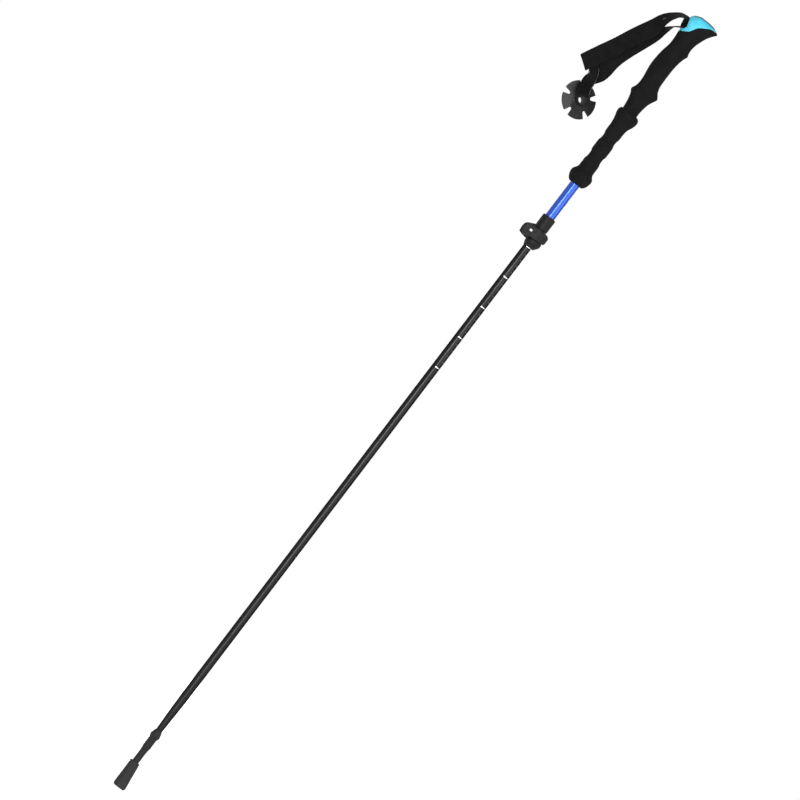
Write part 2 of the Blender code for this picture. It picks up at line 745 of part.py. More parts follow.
def lock_lever(parts, cutters, plastic, steel):
    pin = lever_pin_place()
    low, high = LOCK_BOTTOM, LOCK_BOTTOM + LOCK_CLAMP_HEIGHT + 2.0 * MM
    lever = plan_prism("lock_lever", lever_plan(), low, high, parts, plastic)
    hub = cylinder(
        "lever_hub", LEVER_HUB_RADIUS, (pin.x, pin.y, low), (pin.x, pin.y, high), cutters, steps=24
    )
    boolean(lever, hub, "UNION")
    outline = lock_points(smooth_loop(LEVER_OUTLINE, LINE_STEPS))
    face = side_prism("lever_face", outline, 2 * EAR_REACH, cutters)
    boolean(lever, face, "INTERSECT")
    boolean(lever, lock_window("lever_window", cutters))
    eye_half = LEVER_EYE_HEIGHT / 2 + GAP
    pocket = cylinder(
        "lever_pocket",
        LEVER_HUB_RADIUS - 0.6 * MM,
        (pin.x, pin.y, BOLT_Z - eye_half),
        (pin.x, pin.y, BOLT_Z + eye_half),
        cutters,
        steps=24,
    )
    boolean(lever, pocket)
    side_room = BOLT_RADIUS + 2 * GAP
    mouth = box(
        "lever_mouth",
        (pin.x - 2 * LEVER_HUB_RADIUS, pin.y - side_room, BOLT_Z - eye_half),
        (pin.x + side_room, pin.y + 2 * LEVER_HUB_RADIUS, BOLT_Z + eye_half),
        cutters,
    )
    boolean(lever, mouth)
    pin_hole = cylinder(
        "lever_pin_hole", LEVER_PIN_RADIUS + GAP, (pin.x, pin.y, low), (pin.x, pin.y, high), cutters
    )
    boolean(lever, pin_hole)
    put_origin(lever, (pin.x, pin.y, BOLT_Z))
    cylinder(
        "lever_pin",
        LEVER_PIN_RADIUS,
        (pin.x, pin.y, BOLT_Z - LEVER_PIN_LENGTH / 2),
        (pin.x, pin.y, BOLT_Z + LEVER_PIN_LENGTH / 2),
        parts, steel,
    )


def tension_bolt(parts, cutters, steel, dark_steel):
    """An eye bolt on the lever's pin, through both ears, with its washer and thumb nut."""
    pin = lever_pin_place()
    washer_low = LOCK_SLIT / 2 + EAR_THICKNESS + GAP
    nut_low = washer_low + WASHER_THICKNESS + GAP
    nut_high = nut_low + NUT_THICKNESS
    eye = cylinder(
        "tension_bolt",
        LEVER_PIN_RADIUS + 1.6 * MM,
        (pin.x, pin.y, BOLT_Z - LEVER_EYE_HEIGHT / 2),
        (pin.x, pin.y, BOLT_Z + LEVER_EYE_HEIGHT / 2),
        parts, steel,
    )
    shank = cylinder(
        "bolt_shank",
        BOLT_RADIUS,
        (pin.x, pin.y, BOLT_Z),
        (pin.x, nut_high + 1.2 * MM, BOLT_Z),
        cutters,
    )
    boolean(eye, shank, "UNION")
    eye_hole = cylinder(
        "bolt_eye_hole",
        LEVER_PIN_RADIUS + GAP,
        (pin.x, pin.y, BOLT_Z - LEVER_EYE_HEIGHT),
        (pin.x, pin.y, BOLT_Z + LEVER_EYE_HEIGHT),
        cutters,
    )
    boolean(eye, eye_hole)

    along_bolt = Matrix.Translation((-BOLT_OUT, 0.0, BOLT_Z)) @ Matrix.Rotation(-math.pi / 2, 4, "X")
    bore = BOLT_RADIUS + GAP
    washer = turned(
        "lock_washer",
        [
            (WASHER_RADIUS, washer_low + WASHER_THICKNESS),
            (WASHER_RADIUS, washer_low),
            (bore, washer_low),
            (bore, washer_low + WASHER_THICKNESS),
        ],
        parts, steel, 20, closed=True,
    )
    washer.matrix_world = along_bolt
    outer, inner = [], []
    steps = NUT_GROOVES * 2
    for i in range(steps):
        angle = math.tau * i / steps
        radius = NUT_RADIUS if i % 2 else NUT_RADIUS - 0.5 * MM
        outer.append((radius * math.cos(angle), radius * math.sin(angle)))
        inner.append((bore * math.cos(angle), bore * math.sin(angle)))
    bm = bmesh.new()
    loops = []
    for ring, height in ((outer, nut_low), (outer, nut_high), (inner, nut_high), (inner, nut_low)):
        loops.append([bm.verts.new((x, y, height)) for x, y in ring])
    for here, there in zip(loops, loops[1:] + loops[:1]):
        for i in range(steps):
            j = (i + 1) % steps
            bm.faces.new((here[i], here[j], there[j], there[i]))
    nut = finish_mesh(bm, "adjusting_nut", parts, dark_steel)
    nut.matrix_world = along_bolt


def lower_grip(parts, cutters, foam):
    """The long foam grip, with a lip at its top that the hand grip stands in."""
    stretch = (LOWER_GRIP_LENGTH + GRIP_LIP) / LOWER_GRIP_OUTLINE[-1][0]
    rings = []
    for height, back, front, half_width in smooth_rows(LOWER_GRIP_OUTLINE, OUTLINE_STEPS):
        level = GRIP_BOTTOM + height * stretch
        rings.append(handle_ring(level, back * MM, front * MM, half_width * MM))
    grip = lofted("grip_lower", rings, parts, foam)
    over = 5.0 * MM
    bore = [
        (0.0, UPPER_GRIP_BOTTOM + over),
        (GRIP_SOCKET_RADIUS, UPPER_GRIP_BOTTOM + over),
        (GRIP_SOCKET_RADIUS, UPPER_GRIP_BOTTOM),
        (GRIP_BORE, UPPER_GRIP_BOTTOM),
        (GRIP_BORE, GRIP_BOTTOM - over),
        (0.0, GRIP_BOTTOM - over),
    ]
    boolean(grip, turned("lower_grip_bore", bore, cutters))


def head_form(name, collection, material=None):
    rings = []
    for height, back, front, half_width, narrowing in smooth_rows(UPPER_GRIP_OUTLINE, OUTLINE_STEPS):
        level = UPPER_GRIP_BOTTOM + height * MM
        rings.append(handle_ring(level, back * MM, front * MM, half_width * MM, narrowing))
    return lofted(name, rings, collection, material)


def seam_prism(name, cutters, offset):
    """Everything over the cap seam, which is raised or lowered by an offset."""
    seam = smooth_rows(CAP_SEAM, LINE_STEPS)
    points = [(x * MM, UPPER_GRIP_BOTTOM + z * MM + offset) for x, z in seam]
    top = crest_height() + HEAD_CUT
    points += [(points[-1][0], top), (points[0][0], top)]
    return side_prism(name, points, HEAD_CUT, cutters)


def upper_grip(parts, cutters, foam):
    grip = head_form("grip_upper", parts, foam)
    boolean(grip, seam_prism("foam_over_seam", cutters, -GAP / 2))
    bore = cylinder(
        "upper_grip_bore",
        GRIP_BORE,
        (0, 0, UPPER_GRIP_BOTTOM - MM),
        (0, 0, HEAD_PLUG_TOP + GAP),
        cutters,
        steps=ROUND,
    )
    boolean(grip, bore)
    hole = cylinder(
        "grip_screw_hole",
        CAP_SCREW_RADIUS + GAP,
        (0, 0, HEAD_PLUG_TOP),
        (0, 0, crest_height() + HEAD_CUT),
        cutters,
    )
    boolean(grip, hole)


def crest_height():
    return UPPER_GRIP_BOTTOM + UPPER_GRIP_OUTLINE[-1][0] * MM


def top_cap(parts, cutters, blue, soft_black, steel):
    """The moulded cap, its crest pad, the screw that holds it and the pin for the strap."""
    cap = head_form("top_cap", parts, blue)
    boolean(cap, seam_prism("cap_over_seam", cutters, GAP / 2), "INTERSECT")
    notch = [(x * MM, UPPER_GRIP_BOTTOM + z * MM) for x, z in STRAP_NOTCH]
    boolean(cap, side_prism("strap_notch", notch, HEAD_CUT, cutters))
    room = STRAP_PIN_RADIUS + GAP + STRAP_THICKNESS + 2 * GAP
    half = STRAP_ANCHOR_WIDTH / 2 + 2 * GAP
    chamber = box(
        "strap_chamber",
        (STRAP_PIN_X - 10.0 * MM, -half, STRAP_PIN_Z - room),
        (STRAP_PIN_X, half, STRAP_PIN_Z + room),
        cutters,
    )
    boolean(cap, chamber)
    chamber_end = cylinder(
        "strap_chamber_end",
        room,
        (STRAP_PIN_X, -half, STRAP_PIN_Z),
        (STRAP_PIN_X, half, STRAP_PIN_Z),
        cutters,
    )
    boolean(cap, chamber_end)
    pin_half = STRAP_PIN_LENGTH / 2
    pin_hole = cylinder(
        "strap_pin_hole",
        STRAP_PIN_RADIUS + GAP,
        (STRAP_PIN_X, -pin_half - GAP, STRAP_PIN_Z),
        (STRAP_PIN_X, pin_half + GAP, STRAP_PIN_Z),
        cutters,
    )
    boolean(cap, pin_hole)
    cylinder(
        "strap_pin",
        STRAP_PIN_RADIUS,
        (STRAP_PIN_X, -pin_half, STRAP_PIN_Z),
        (STRAP_PIN_X, pin_half, STRAP_PIN_Z),
        parts, steel,
    )

    head_top = crest_height() - CREST_PAD_THICKNESS - 3.0 * MM
    head_low = head_top - CAP_SCREW_HEAD
    screw_hole = cylinder(
        "cap_screw_hole",
        CAP_SCREW_RADIUS + GAP,
        (0, 0, HEAD_PLUG_TOP),
        (0, 0, head_top),
        cutters,
    )
    boolean(cap, screw_hole)
    head_hole = cylinder(
        "cap_screw_counterbore",
        CAP_SCREW_HEAD_RADIUS + GAP,
        (0, 0, head_low - GAP),
        (0, 0, crest_height() + MM),
        cutters,
    )
    boolean(cap, head_hole)
    screw_low = UPPER_TUBE_TOP - HEAD_PLUG_STEM * 0.7
    turned(
        "cap_screw",
        [
            (0.0, head_top - 0.9 * MM),
            (1.5 * MM, head_top - 0.9 * MM),
            (1.5 * MM, head_top),
            (CAP_SCREW_HEAD_RADIUS - 0.4 * MM, head_top),
            (CAP_SCREW_HEAD_RADIUS, head_top - 0.5 * MM),
            (CAP_SCREW_HEAD_RADIUS, head_low),
            (CAP_SCREW_RADIUS, head_low),
            (CAP_SCREW_RADIUS, screw_low + 2.0 * MM),
            (0.0, screw_low),
        ],
        parts, steel, SMALL_ROUND,
    )
    crest_pad(parts, cutters, cap, soft_black)


def crest_pad(parts, cutters, cap, soft_black):
    """A soft black strip let into the cap's crest, from over the notch to near the beak."""
    half = CREST_PAD_WIDTH / 2
    crest = [(x * MM, UPPER_GRIP_BOTTOM + z * MM) for x, z in smooth_rows(CREST_LINE, LINE_STEPS)]
    low_line = [(x, z - CREST_PAD_THICKNESS) for x, z in crest]
    above = [(crest[-1][0], crest_height() + 5 * MM), (crest[0][0], crest_height() + 5 * MM)]
    pad = head_form("crest_pad", parts, soft_black)
    boolean(pad, side_prism("crest_pad_room", low_line + above, half, cutters), "INTERSECT")
    grown = [(x, z - GAP) for x, z in low_line]
    grown[0] = (grown[0][0] - GAP, grown[0][1])
    grown[-1] = (grown[-1][0] + GAP, grown[-1][1])
    above = [(grown[-1][0], crest_height() + 5 * MM), (grown[0][0], crest_height() + 5 * MM)]
    boolean(cap, side_prism("crest_pad_seat", grown + above, half + GAP, cutters))


def ribbon_rings(stations):
    """Sections of a flat band from its middle line and the half span that lies across it."""
    rings = []
    for i, (centre, span) in enumerate(stations):
        ahead = stations[min(i + 1, len(stations) - 1)][0]
        behind = stations[max(i - 1, 0)][0]
        along = (ahead - behind).normalized()
        across = (span - along * span.dot(along)).normalized()
        side = across * span.length
        lift = along.cross(across) * STRAP_THICKNESS / 2
        rings.append([centre - side - lift, centre + side - lift, centre + side + lift, centre - side + lift])
    return rings


def through(before, start, end, after, t):
    """A point between start and end on the smooth curve through four points."""
    return 0.5 * (
        2 * start
        + (end - before) * t
        + (2 * before - 5 * start + 4 * end - after) * t * t
        + (3 * start - before - 3 * end + after) * t * t * t
    )


def smooth_stations(stations, steps):
    """More stations on a smooth curve through the given ones."""
    out = []
    for i in range(len(stations) - 1):
        four = [stations[min(max(k, 0), len(stations) - 1)] for k in (i - 1, i, i + 1, i + 2)]
        for k in range(steps):
            t = k / steps
            centre = through(*[station[0] for station in four], t)
            span = through(*[station[1] for station in four], t)
            out.append((centre, span))
    out.append(stations[-1])
    return out


def strap_station(x, z, y, twist, across_x, across_z, width=STRAP_WIDTH):
    """A station at millimetres from the strap pin; twist 0 lies across the pole, 90 faces sideways."""
    turn = math.radians(twist)
    side = Vector((across_x, 0.0, across_z)).normalized()
    across = Vector((0.0, -1.0, 0.0)) * math.cos(turn) + side * math.sin(turn)
    place = Vector((STRAP_PIN_X + x * MM, y * MM, STRAP_PIN_Z + z * MM))
    return (place, across * width / 2)


OUTER_BAND = [
    (-6.8, 0.4, 0.0, 19.0, -0.84, -0.54, 18.0 * MM),
    (-8.7, 4.7, 0.0, 21.0, -0.80, -0.60, 18.2 * MM),
    (-10.7, 7.6, -0.2, 23.0, -0.50, -0.87, 19.0 * MM),
    (-14.6, 9.1, -0.6, 28.0, 0.10, -0.99, 20.4 * MM),
    (-20.9, 6.3, -1.2, 35.0, 0.72, -0.70, 22.0 * MM),
    (-28.9, -6.0, -2.4, 48.0, 0.84, -0.54),
    (-37.3, -26.9, -3.6, 80.0, 0.88, -0.48),
    (-49.1, -50.0, -4.2, 90.0, 0.89, -0.455),
    (-60.2, -74.0, -4.4, 90.0, 0.90, -0.43),
    (-71.9, -96.5, -4.5, 90.0, 0.89, -0.46),
    (-83.4, -119.2, -4.5, 90.0, 0.813, -0.583),
]
INNER_BAND = [
    (-6.4, -2.4, 0.0, 2.0, 0.75, -0.66, 18.0 * MM),
    (-11.5, -6.4, 0.1, 3.0, 0.75, -0.66, 18.6 * MM),
    (-15.8, -11.8, 0.3, 10.0, 0.72, -0.70, 20.0 * MM),
    (-21.4, -18.7, 0.8, 28.0, 0.86, -0.51, 21.6 * MM),
    (-32.4, -35.8, 2.0, 65.0, 0.91, -0.41),
    (-47.2, -70.6, 2.8, 90.0, 0.93, -0.37),
    (-53.5, -91.1, 2.8, 90.0, 0.95, -0.30),
    (-55.3, -111.3, 3.0, 90.0, 0.99, -0.12, 22.0 * MM),
    (-57.3, -121.3, 4.0, 90.0, 0.96, -0.20, 20.5 * MM),
]


def basket_axes():
    """The basket's middle, the two directions in its disc and the way its face points."""
    right = Vector((math.cos(BASKET_LEAN), 0.0, math.sin(BASKET_LEAN)))
    up = Vector((-math.sin(BASKET_LEAN), 0.0, math.cos(BASKET_LEAN)))
    level = right * math.cos(BASKET_TILT) + Vector((0.0, math.sin(BASKET_TILT), 0.0))
    face = right * math.sin(BASKET_TILT) - Vector((0.0, math.cos(BASKET_TILT), 0.0))
    middle = Vector((STRAP_PIN_X - 58.2 * MM, -2.0 * MM, STRAP_PIN_Z - 163.0 * MM))
    return middle, level, up, face


def on_basket(level_mm, up_mm, face_mm):
    middle, level, up, face = basket_axes()
    return middle + level * level_mm * MM + up * up_mm * MM + face * face_mm * MM


def strap_axis_place():
    """The edge of the cap that the strap folds over, on the axis that it lifts about."""
    edge_x, edge_z = STRAP_NOTCH[1]
    return (edge_x * MM, 0.0, UPPER_GRIP_BOTTOM + edge_z * MM)


def basket_station(level_mm, up_mm, face_mm, across, width):
    """A station at millimetres from the basket's middle, along its level line, up and forward."""
    return (on_basket(level_mm, up_mm, face_mm), Vector(across).normalized() * width / 2)


def wrist_strap(parts, webbing):
    """The two bands of the loop and the webbing tail that the basket is tied to."""
    level = basket_axes()[1]
    outer = smooth_stations([strap_station(*row) for row in OUTER_BAND], 4)
    put_origin(lofted("strap_outer_band", ribbon_rings(outer), parts, webbing), strap_axis_place())

    inner = [strap_station(*row) for row in INNER_BAND]
    inner.append(basket_station(18.5, 26.8, -2.6, (0.86, 0.25, 0.05), 19.0 * MM))
    inner.append(basket_station(13.0, 21.5, -5.0, level, 18.0 * MM))
    inner.append(basket_station(7.0, 13.0, -5.6, level, 17.0 * MM))
    inner_rings = ribbon_rings(smooth_stations(inner, 4))
    put_origin(lofted("strap_inner_band", inner_rings, parts, webbing), strap_axis_place())

    tail = [
        strap_station(-61.0, -108.0, -2.0, 90, 1.0, 0.02, 9.5 * MM),
        strap_station(-62.9, -118.0, -1.4, 90, 1.0, 0.10, 12.0 * MM),
        basket_station(13.2, 24.5, 4.6, (0.90, 0.22, 0.30), 16.5 * MM),
        basket_station(5.0, 17.0, 7.4, (0.80, 0.38, 0.28), 20.0 * MM),
        basket_station(0.0, 8.8, 11.7, level, 20.5 * MM),
        basket_station(-1.2, 4.9, 12.1, level, 20.5 * MM),
    ]
    tail_rings = ribbon_rings(smooth_stations(tail, 4))
    put_origin(lofted("strap_tail", tail_rings, parts, webbing), strap_axis_place())


def strap_anchor(parts, webbing):
    """The short turn of webbing round the pin, inside the cap's chamber."""
    inner = STRAP_PIN_RADIUS + GAP
    middle = inner + STRAP_THICKNESS / 2
    stations = []
    steps = 10
    end_x = STRAP_PIN_X - STRAP_ANCHOR_REACH
    span = Vector((0.0, -STRAP_ANCHOR_WIDTH / 2, 0.0))
    stations.append((Vector((end_x, 0, STRAP_PIN_Z + middle)), span))
    for i in range(steps + 1):
        angle = math.pi / 2 - math.pi * i / steps
        place = (STRAP_PIN_X + middle * math.cos(angle), 0, STRAP_PIN_Z + middle * math.sin(angle))
        stations.append((Vector(place), span))
    stations.append((Vector((end_x, 0, STRAP_PIN_Z - middle)), span))
    lofted("strap_anchor_loop", ribbon_rings(stations), parts, webbing)


def basket(parts, cutters, plastic, elastic):
    """A shallow cone with a hub on its front, a low collar behind and notches round its rim."""
    half = BASKET_THICKNESS / 2
    edge = 0.6 * MM
    foot = BASKET_BOSS_RADIUS
    outline = [
        (BASKET_HUB_RADIUS - edge, BASKET_HUB_TOP),
        (BASKET_HUB_RADIUS, BASKET_HUB_TOP - edge),
        (0.75 * BASKET_HUB_RADIUS + 0.25 * foot, 0.3 * BASKET_HUB_TOP + 0.7 * (BASKET_RISE + half)),
        (foot, BASKET_RISE + half),
        (BASKET_RADIUS - edge, half),
        (BASKET_RADIUS, half - edge),
        (BASKET_RADIUS, edge - half),
        (BASKET_RADIUS - edge, -half),
        (foot, BASKET_RISE - half),
        (BASKET_COLLAR_RADIUS, BASKET_RISE - half),
        (BASKET_COLLAR_RADIUS, BASKET_COLLAR_LOW + edge),
        (BASKET_COLLAR_RADIUS - edge, BASKET_COLLAR_LOW),
        (BASKET_BORE_RADIUS, BASKET_COLLAR_LOW),
        (BASKET_BORE_RADIUS, BASKET_HUB_TOP),
    ]
    disc = baked(turned("basket", outline, parts, plastic, BASKET_ROUND, closed=True))
    inner = BASKET_RADIUS - BASKET_NOTCH_DEPTH
    wide = BASKET_NOTCH_WIDTH / 2
    arc = [
        (inner + wide - wide * math.cos(a), wide * math.sin(a))
        for a in (math.radians(d) for d in range(-80, 81, 20))
    ]
    over = 3.0 * MM
    flare = (BASKET_NOTCH_MOUTH / 2 - wide) / (BASKET_NOTCH_DEPTH - wide)
    mouth = BASKET_NOTCH_MOUTH / 2 + over * flare
    points = arc + [(BASKET_RADIUS + over, mouth), (BASKET_RADIUS + over, -mouth)]
    for i in range(BASKET_NOTCHES):
        cutter = plan_prism(f"basket_notch_{i}", points, -2 * over, 2 * over, cutters)
        cutter.data.transform(Matrix.Rotation(BASKET_NOTCH_TURN + math.tau * i / BASKET_NOTCHES, 4, "Z"))
        cutter.matrix_world = basket_matrix()
        boolean(disc, cutter)
    disc.matrix_world = basket_matrix()
    basket_keeper(parts, elastic)


def basket_matrix():
    middle, level, up, face = basket_axes()
    turn = Matrix((level, up, face)).transposed().to_4x4()
    return Matrix.Translation(middle) @ turn


def basket_keeper(parts, elastic):
    """An elastic cord ring through the bore and the hidden notch, tied between tail and band."""
    notch = BASKET_NOTCH_TURN + math.tau / BASKET_NOTCHES
    radial = Vector((math.cos(notch), math.sin(notch), 0.0))
    r = KEEPER_RADIUS
    clear = r + 0.4 * MM
    half = BASKET_THICKNESS / 2
    near = BASKET_BORE_RADIUS - clear
    corners = [
        (near, BASKET_HUB_TOP + clear),
        (BASKET_HUB_RADIUS + clear, BASKET_HUB_TOP + clear),
        (BASKET_BOSS_RADIUS + clear, BASKET_RISE + half + clear),
        (KEEPER_PLACE, half + 1.4 * clear),
        (KEEPER_PLACE, -half - clear),
        (near, BASKET_COLLAR_LOW - clear),
    ]
    radius = 0.9 * MM
    points = []
    for i, corner in enumerate(corners):
        here = Vector(corner)
        before = (Vector(corners[i - 1]) - here).normalized()
        after = (Vector(corners[(i + 1) % len(corners)]) - here).normalized()
        start, end = here + before * radius, here + after * radius
        points.append(start)
        points.append((start + end) / 2 * 0.5 + here * 0.5)
        points.append(end)
    curve = bpy.data.curves.new("basket_keeper", "CURVE")
    curve.dimensions = "3D"
    curve.bevel_depth = r
    curve.bevel_resolution = 2
    curve.render_resolution_u = 0
    spline = curve.splines.new("POLY")
    spline.points.add(len(points) - 1)
    for point, flat in zip(spline.points, points):
        place = radial * flat.x + Vector((0.0, 0.0, flat.y))
        point.co = (*place, 1.0)
    spline.use_cyclic_u = True
    keeper = bpy.data.objects.new("basket_keeper", curve)
    curve.materials.append(elastic)
    parts.objects.link(keeper)
    curve.transform(basket_matrix())
    put_origin(keeper, strap_axis_place())


def build():
    clear_scene()
    parts = new_collection("trail_running_pole")
    cutters = new_collection("cutters")
    rubber = principled("foot_rubber", (0.045, 0.045, 0.047), 0.75)
    carbide = principled("carbide", (0.30, 0.30, 0.31), 0.35, 1.0)
    steel = principled("steel", (0.62, 0.62, 0.64), 0.3, 1.0)
    dark_steel = principled("blackened_steel", (0.05, 0.05, 0.055), 0.4, 0.6)
    tip_plastic = principled("tip_plastic", (0.022, 0.022, 0.024), 0.45)
    anodised = principled("black_anodised", (0.02, 0.02, 0.022), 0.38, 0.7)
    blue_tube = principled("blue_anodised", (0.02, 0.10, 0.75), 0.25, 0.9)
    lock_plastic = principled("lock_plastic", (0.03, 0.03, 0.032), 0.42)
    foam = principled("eva_foam", (0.016, 0.016, 0.018), 0.85)
    cap_blue = principled("cap_blue", (0.08, 0.58, 0.90), 0.4)
    soft_black = principled("soft_black", (0.02, 0.02, 0.022), 0.6)
    webbing = principled("black_webbing", (0.012, 0.012, 0.014), 0.8)
    elastic = principled("black_elastic", (0.012, 0.012, 0.013), 0.8)
    basket_plastic = principled("basket_plastic", (0.025, 0.025, 0.027), 0.4)

    rubber_foot(parts, cutters, rubber)
    hard_tip(parts, carbide, steel)
    tip_ferrule(parts, tip_plastic)
    lower_shaft(parts, anodised, tip_plastic)
    upper_tube(parts, blue_tube, tip_plastic)
    lock_body(parts, cutters, lock_plastic)
    lock_lever(parts, cutters, lock_plastic, steel)
    tension_bolt(parts, cutters, steel, dark_steel)
    lower_grip(parts, cutters, foam)
    upper_grip(parts, cutters, foam)
    top_cap(parts, cutters, cap_blue, soft_black, steel)
    strap_anchor(parts, webbing)
    wrist_strap(parts, webbing)
    basket(parts, cutters, basket_plastic, elastic)


build()
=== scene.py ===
"""Looks for the trail running pole: finishes, foam, webbing, stage, lights and camera."""

import bisect
import math

import bpy
from bpy.props import FloatProperty, FloatVectorProperty, IntProperty, PointerProperty
from mathutils import Matrix, Vector


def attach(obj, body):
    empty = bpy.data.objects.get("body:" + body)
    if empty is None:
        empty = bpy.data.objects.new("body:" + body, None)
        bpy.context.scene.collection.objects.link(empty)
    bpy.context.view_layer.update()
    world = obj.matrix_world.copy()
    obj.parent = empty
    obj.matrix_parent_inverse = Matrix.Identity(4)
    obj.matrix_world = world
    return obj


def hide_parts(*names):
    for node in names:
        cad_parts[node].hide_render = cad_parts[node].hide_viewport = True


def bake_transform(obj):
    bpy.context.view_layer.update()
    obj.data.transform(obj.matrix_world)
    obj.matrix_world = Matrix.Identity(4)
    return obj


bl_info = {
    "name": "Trail Running Pole",
    "version": (1, 0, 0),
    "blender": (4, 5, 0),
    "location": "View3D > Sidebar > Pole",
    "description": "Finishes, foam, webbing and studio for an adjustable trail running pole",
    "category": "Object",
}

MM = 0.001
# How far the pole leans from upright in the view
LEAN = math.radians(37.29)

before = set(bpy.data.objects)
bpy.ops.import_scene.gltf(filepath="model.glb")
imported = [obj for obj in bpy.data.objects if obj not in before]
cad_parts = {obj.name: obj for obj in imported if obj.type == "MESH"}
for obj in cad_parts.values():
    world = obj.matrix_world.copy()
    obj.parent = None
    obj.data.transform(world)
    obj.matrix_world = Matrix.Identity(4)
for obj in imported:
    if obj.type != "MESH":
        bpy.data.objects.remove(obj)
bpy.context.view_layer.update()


def colour_property(name, description, default):
    return FloatVectorProperty(
        name=name,
        description=description,
        default=default,
        size=3,
        min=0.0,
        max=1.0,
        subtype="COLOR",
    )


def length_property(name, description, default):
    return FloatProperty(
        name=name, description=description, default=default, min=0.0, unit="LENGTH", precision=5
    )


def number_property(name, description, default):
    return FloatProperty(name=name, description=description, default=default, min=0.0)


class PoleStudioSettings(bpy.types.PropertyGroup):
    """The camera, the floor and the lamps."""

    frame_width: length_property("Frame width", "Width of the view at the pole", 1.0608)
    focal_length: number_property("Focal length", "Lens of the camera in mm", 300.0)
    aim: FloatVectorProperty(
        name="Aim",
        description="Point in the middle of the view",
        default=(-0.01128, 0.0, 0.6345),
        unit="LENGTH",
    )
    lean: FloatProperty(
        name="Lean",
        description="How far the pole leans in the view",
        default=LEAN,
        unit="ROTATION",
    )
    floor_size: length_property("Floor size", "Side of the square floor", 60.0)
    floor_white: number_property("Floor white", "White of the floor without lamps", 0.74)
    key_power: number_property("Key power", "Power of the soft lamp in front", 17.0)
    fill_power: number_property("Fill power", "Power of the wide lamp at the side", 32.0)
    strip_power: number_property("Strip power", "Power of the narrow lamp", 57.0)
    back_power: number_property("Back power", "Power of the lamp behind", 26.0)
    sky: number_property("Sky", "Strength of the world on the object", 0.25)


class PoleFinishSettings(bpy.types.PropertyGroup):
    """The colours of the pole's finishes."""

    rubber: colour_property("Rubber", "Foot rubber", (0.040, 0.040, 0.041))
    tip_plastic: colour_property("Tip plastic", "Ferrule and plugs", (0.020, 0.020, 0.0205))
    shaft_black: colour_property("Shaft", "Black anodised shaft", (0.022, 0.022, 0.0224))
    scale_white: colour_property("Scale", "Printed length marks", (0.80, 0.80, 0.80))
    tube_blue: colour_property("Tube", "Blue anodised tube", (0.016, 0.068, 0.43))
    lock_black: colour_property("Lock", "Lever lock plastic", (0.010, 0.010, 0.0104))
    foam: colour_property("Foam", "Grip foam", (0.0105, 0.0105, 0.0112))
    cap_blue: colour_property("Cap", "Cap plastic", (0.095, 0.67, 0.88))
    crest: colour_property("Crest", "Soft strip on the cap", (0.010, 0.011, 0.013))
    webbing: colour_property("Webbing", "Strap yarn", (0.0070, 0.0070, 0.0076))
    thread: colour_property("Thread", "Stitching of the strap", (0.20, 0.20, 0.21))
    basket: colour_property("Basket", "Basket plastic", (0.009, 0.009, 0.0094))
    # Painted highlight: the paler colour laid on one side of the basket in place of a lamp's sheen
    basket_painted_highlight: colour_property("Painted basket highlight", "The basket's paler side", (0.062, 0.062, 0.063))


class PoleFoamSettings(bpy.types.PropertyGroup):
    """How finely the foam grips are built."""

    turns: IntProperty(name="Turns", description="Faces round a grip", default=72, min=12)
    rise: length_property("Rise", "Height of one row of faces", 1.3 * MM)
    edge: length_property("Edge", "Rounding of the foam's edges", 0.5 * MM)


class PoleStrapSettings(bpy.types.PropertyGroup):
    """The webbing of the wrist strap."""

    thickness: length_property("Thickness", "Thickness of the webbing", 1.3 * MM)
    yarn: length_property("Yarn", "Distance between the yarns", 0.95 * MM)
    step: length_property("Step", "Length of one row of faces", 0.9 * MM)
    across: IntProperty(name="Across", description="Faces across the webbing", default=12, min=4)
    hem: length_property("Hem", "Length of webbing folded under at the strap's end", 20.0 * MM)
    thread: length_property("Thread", "Thickness of the sewing thread", 0.42 * MM)


# Materials


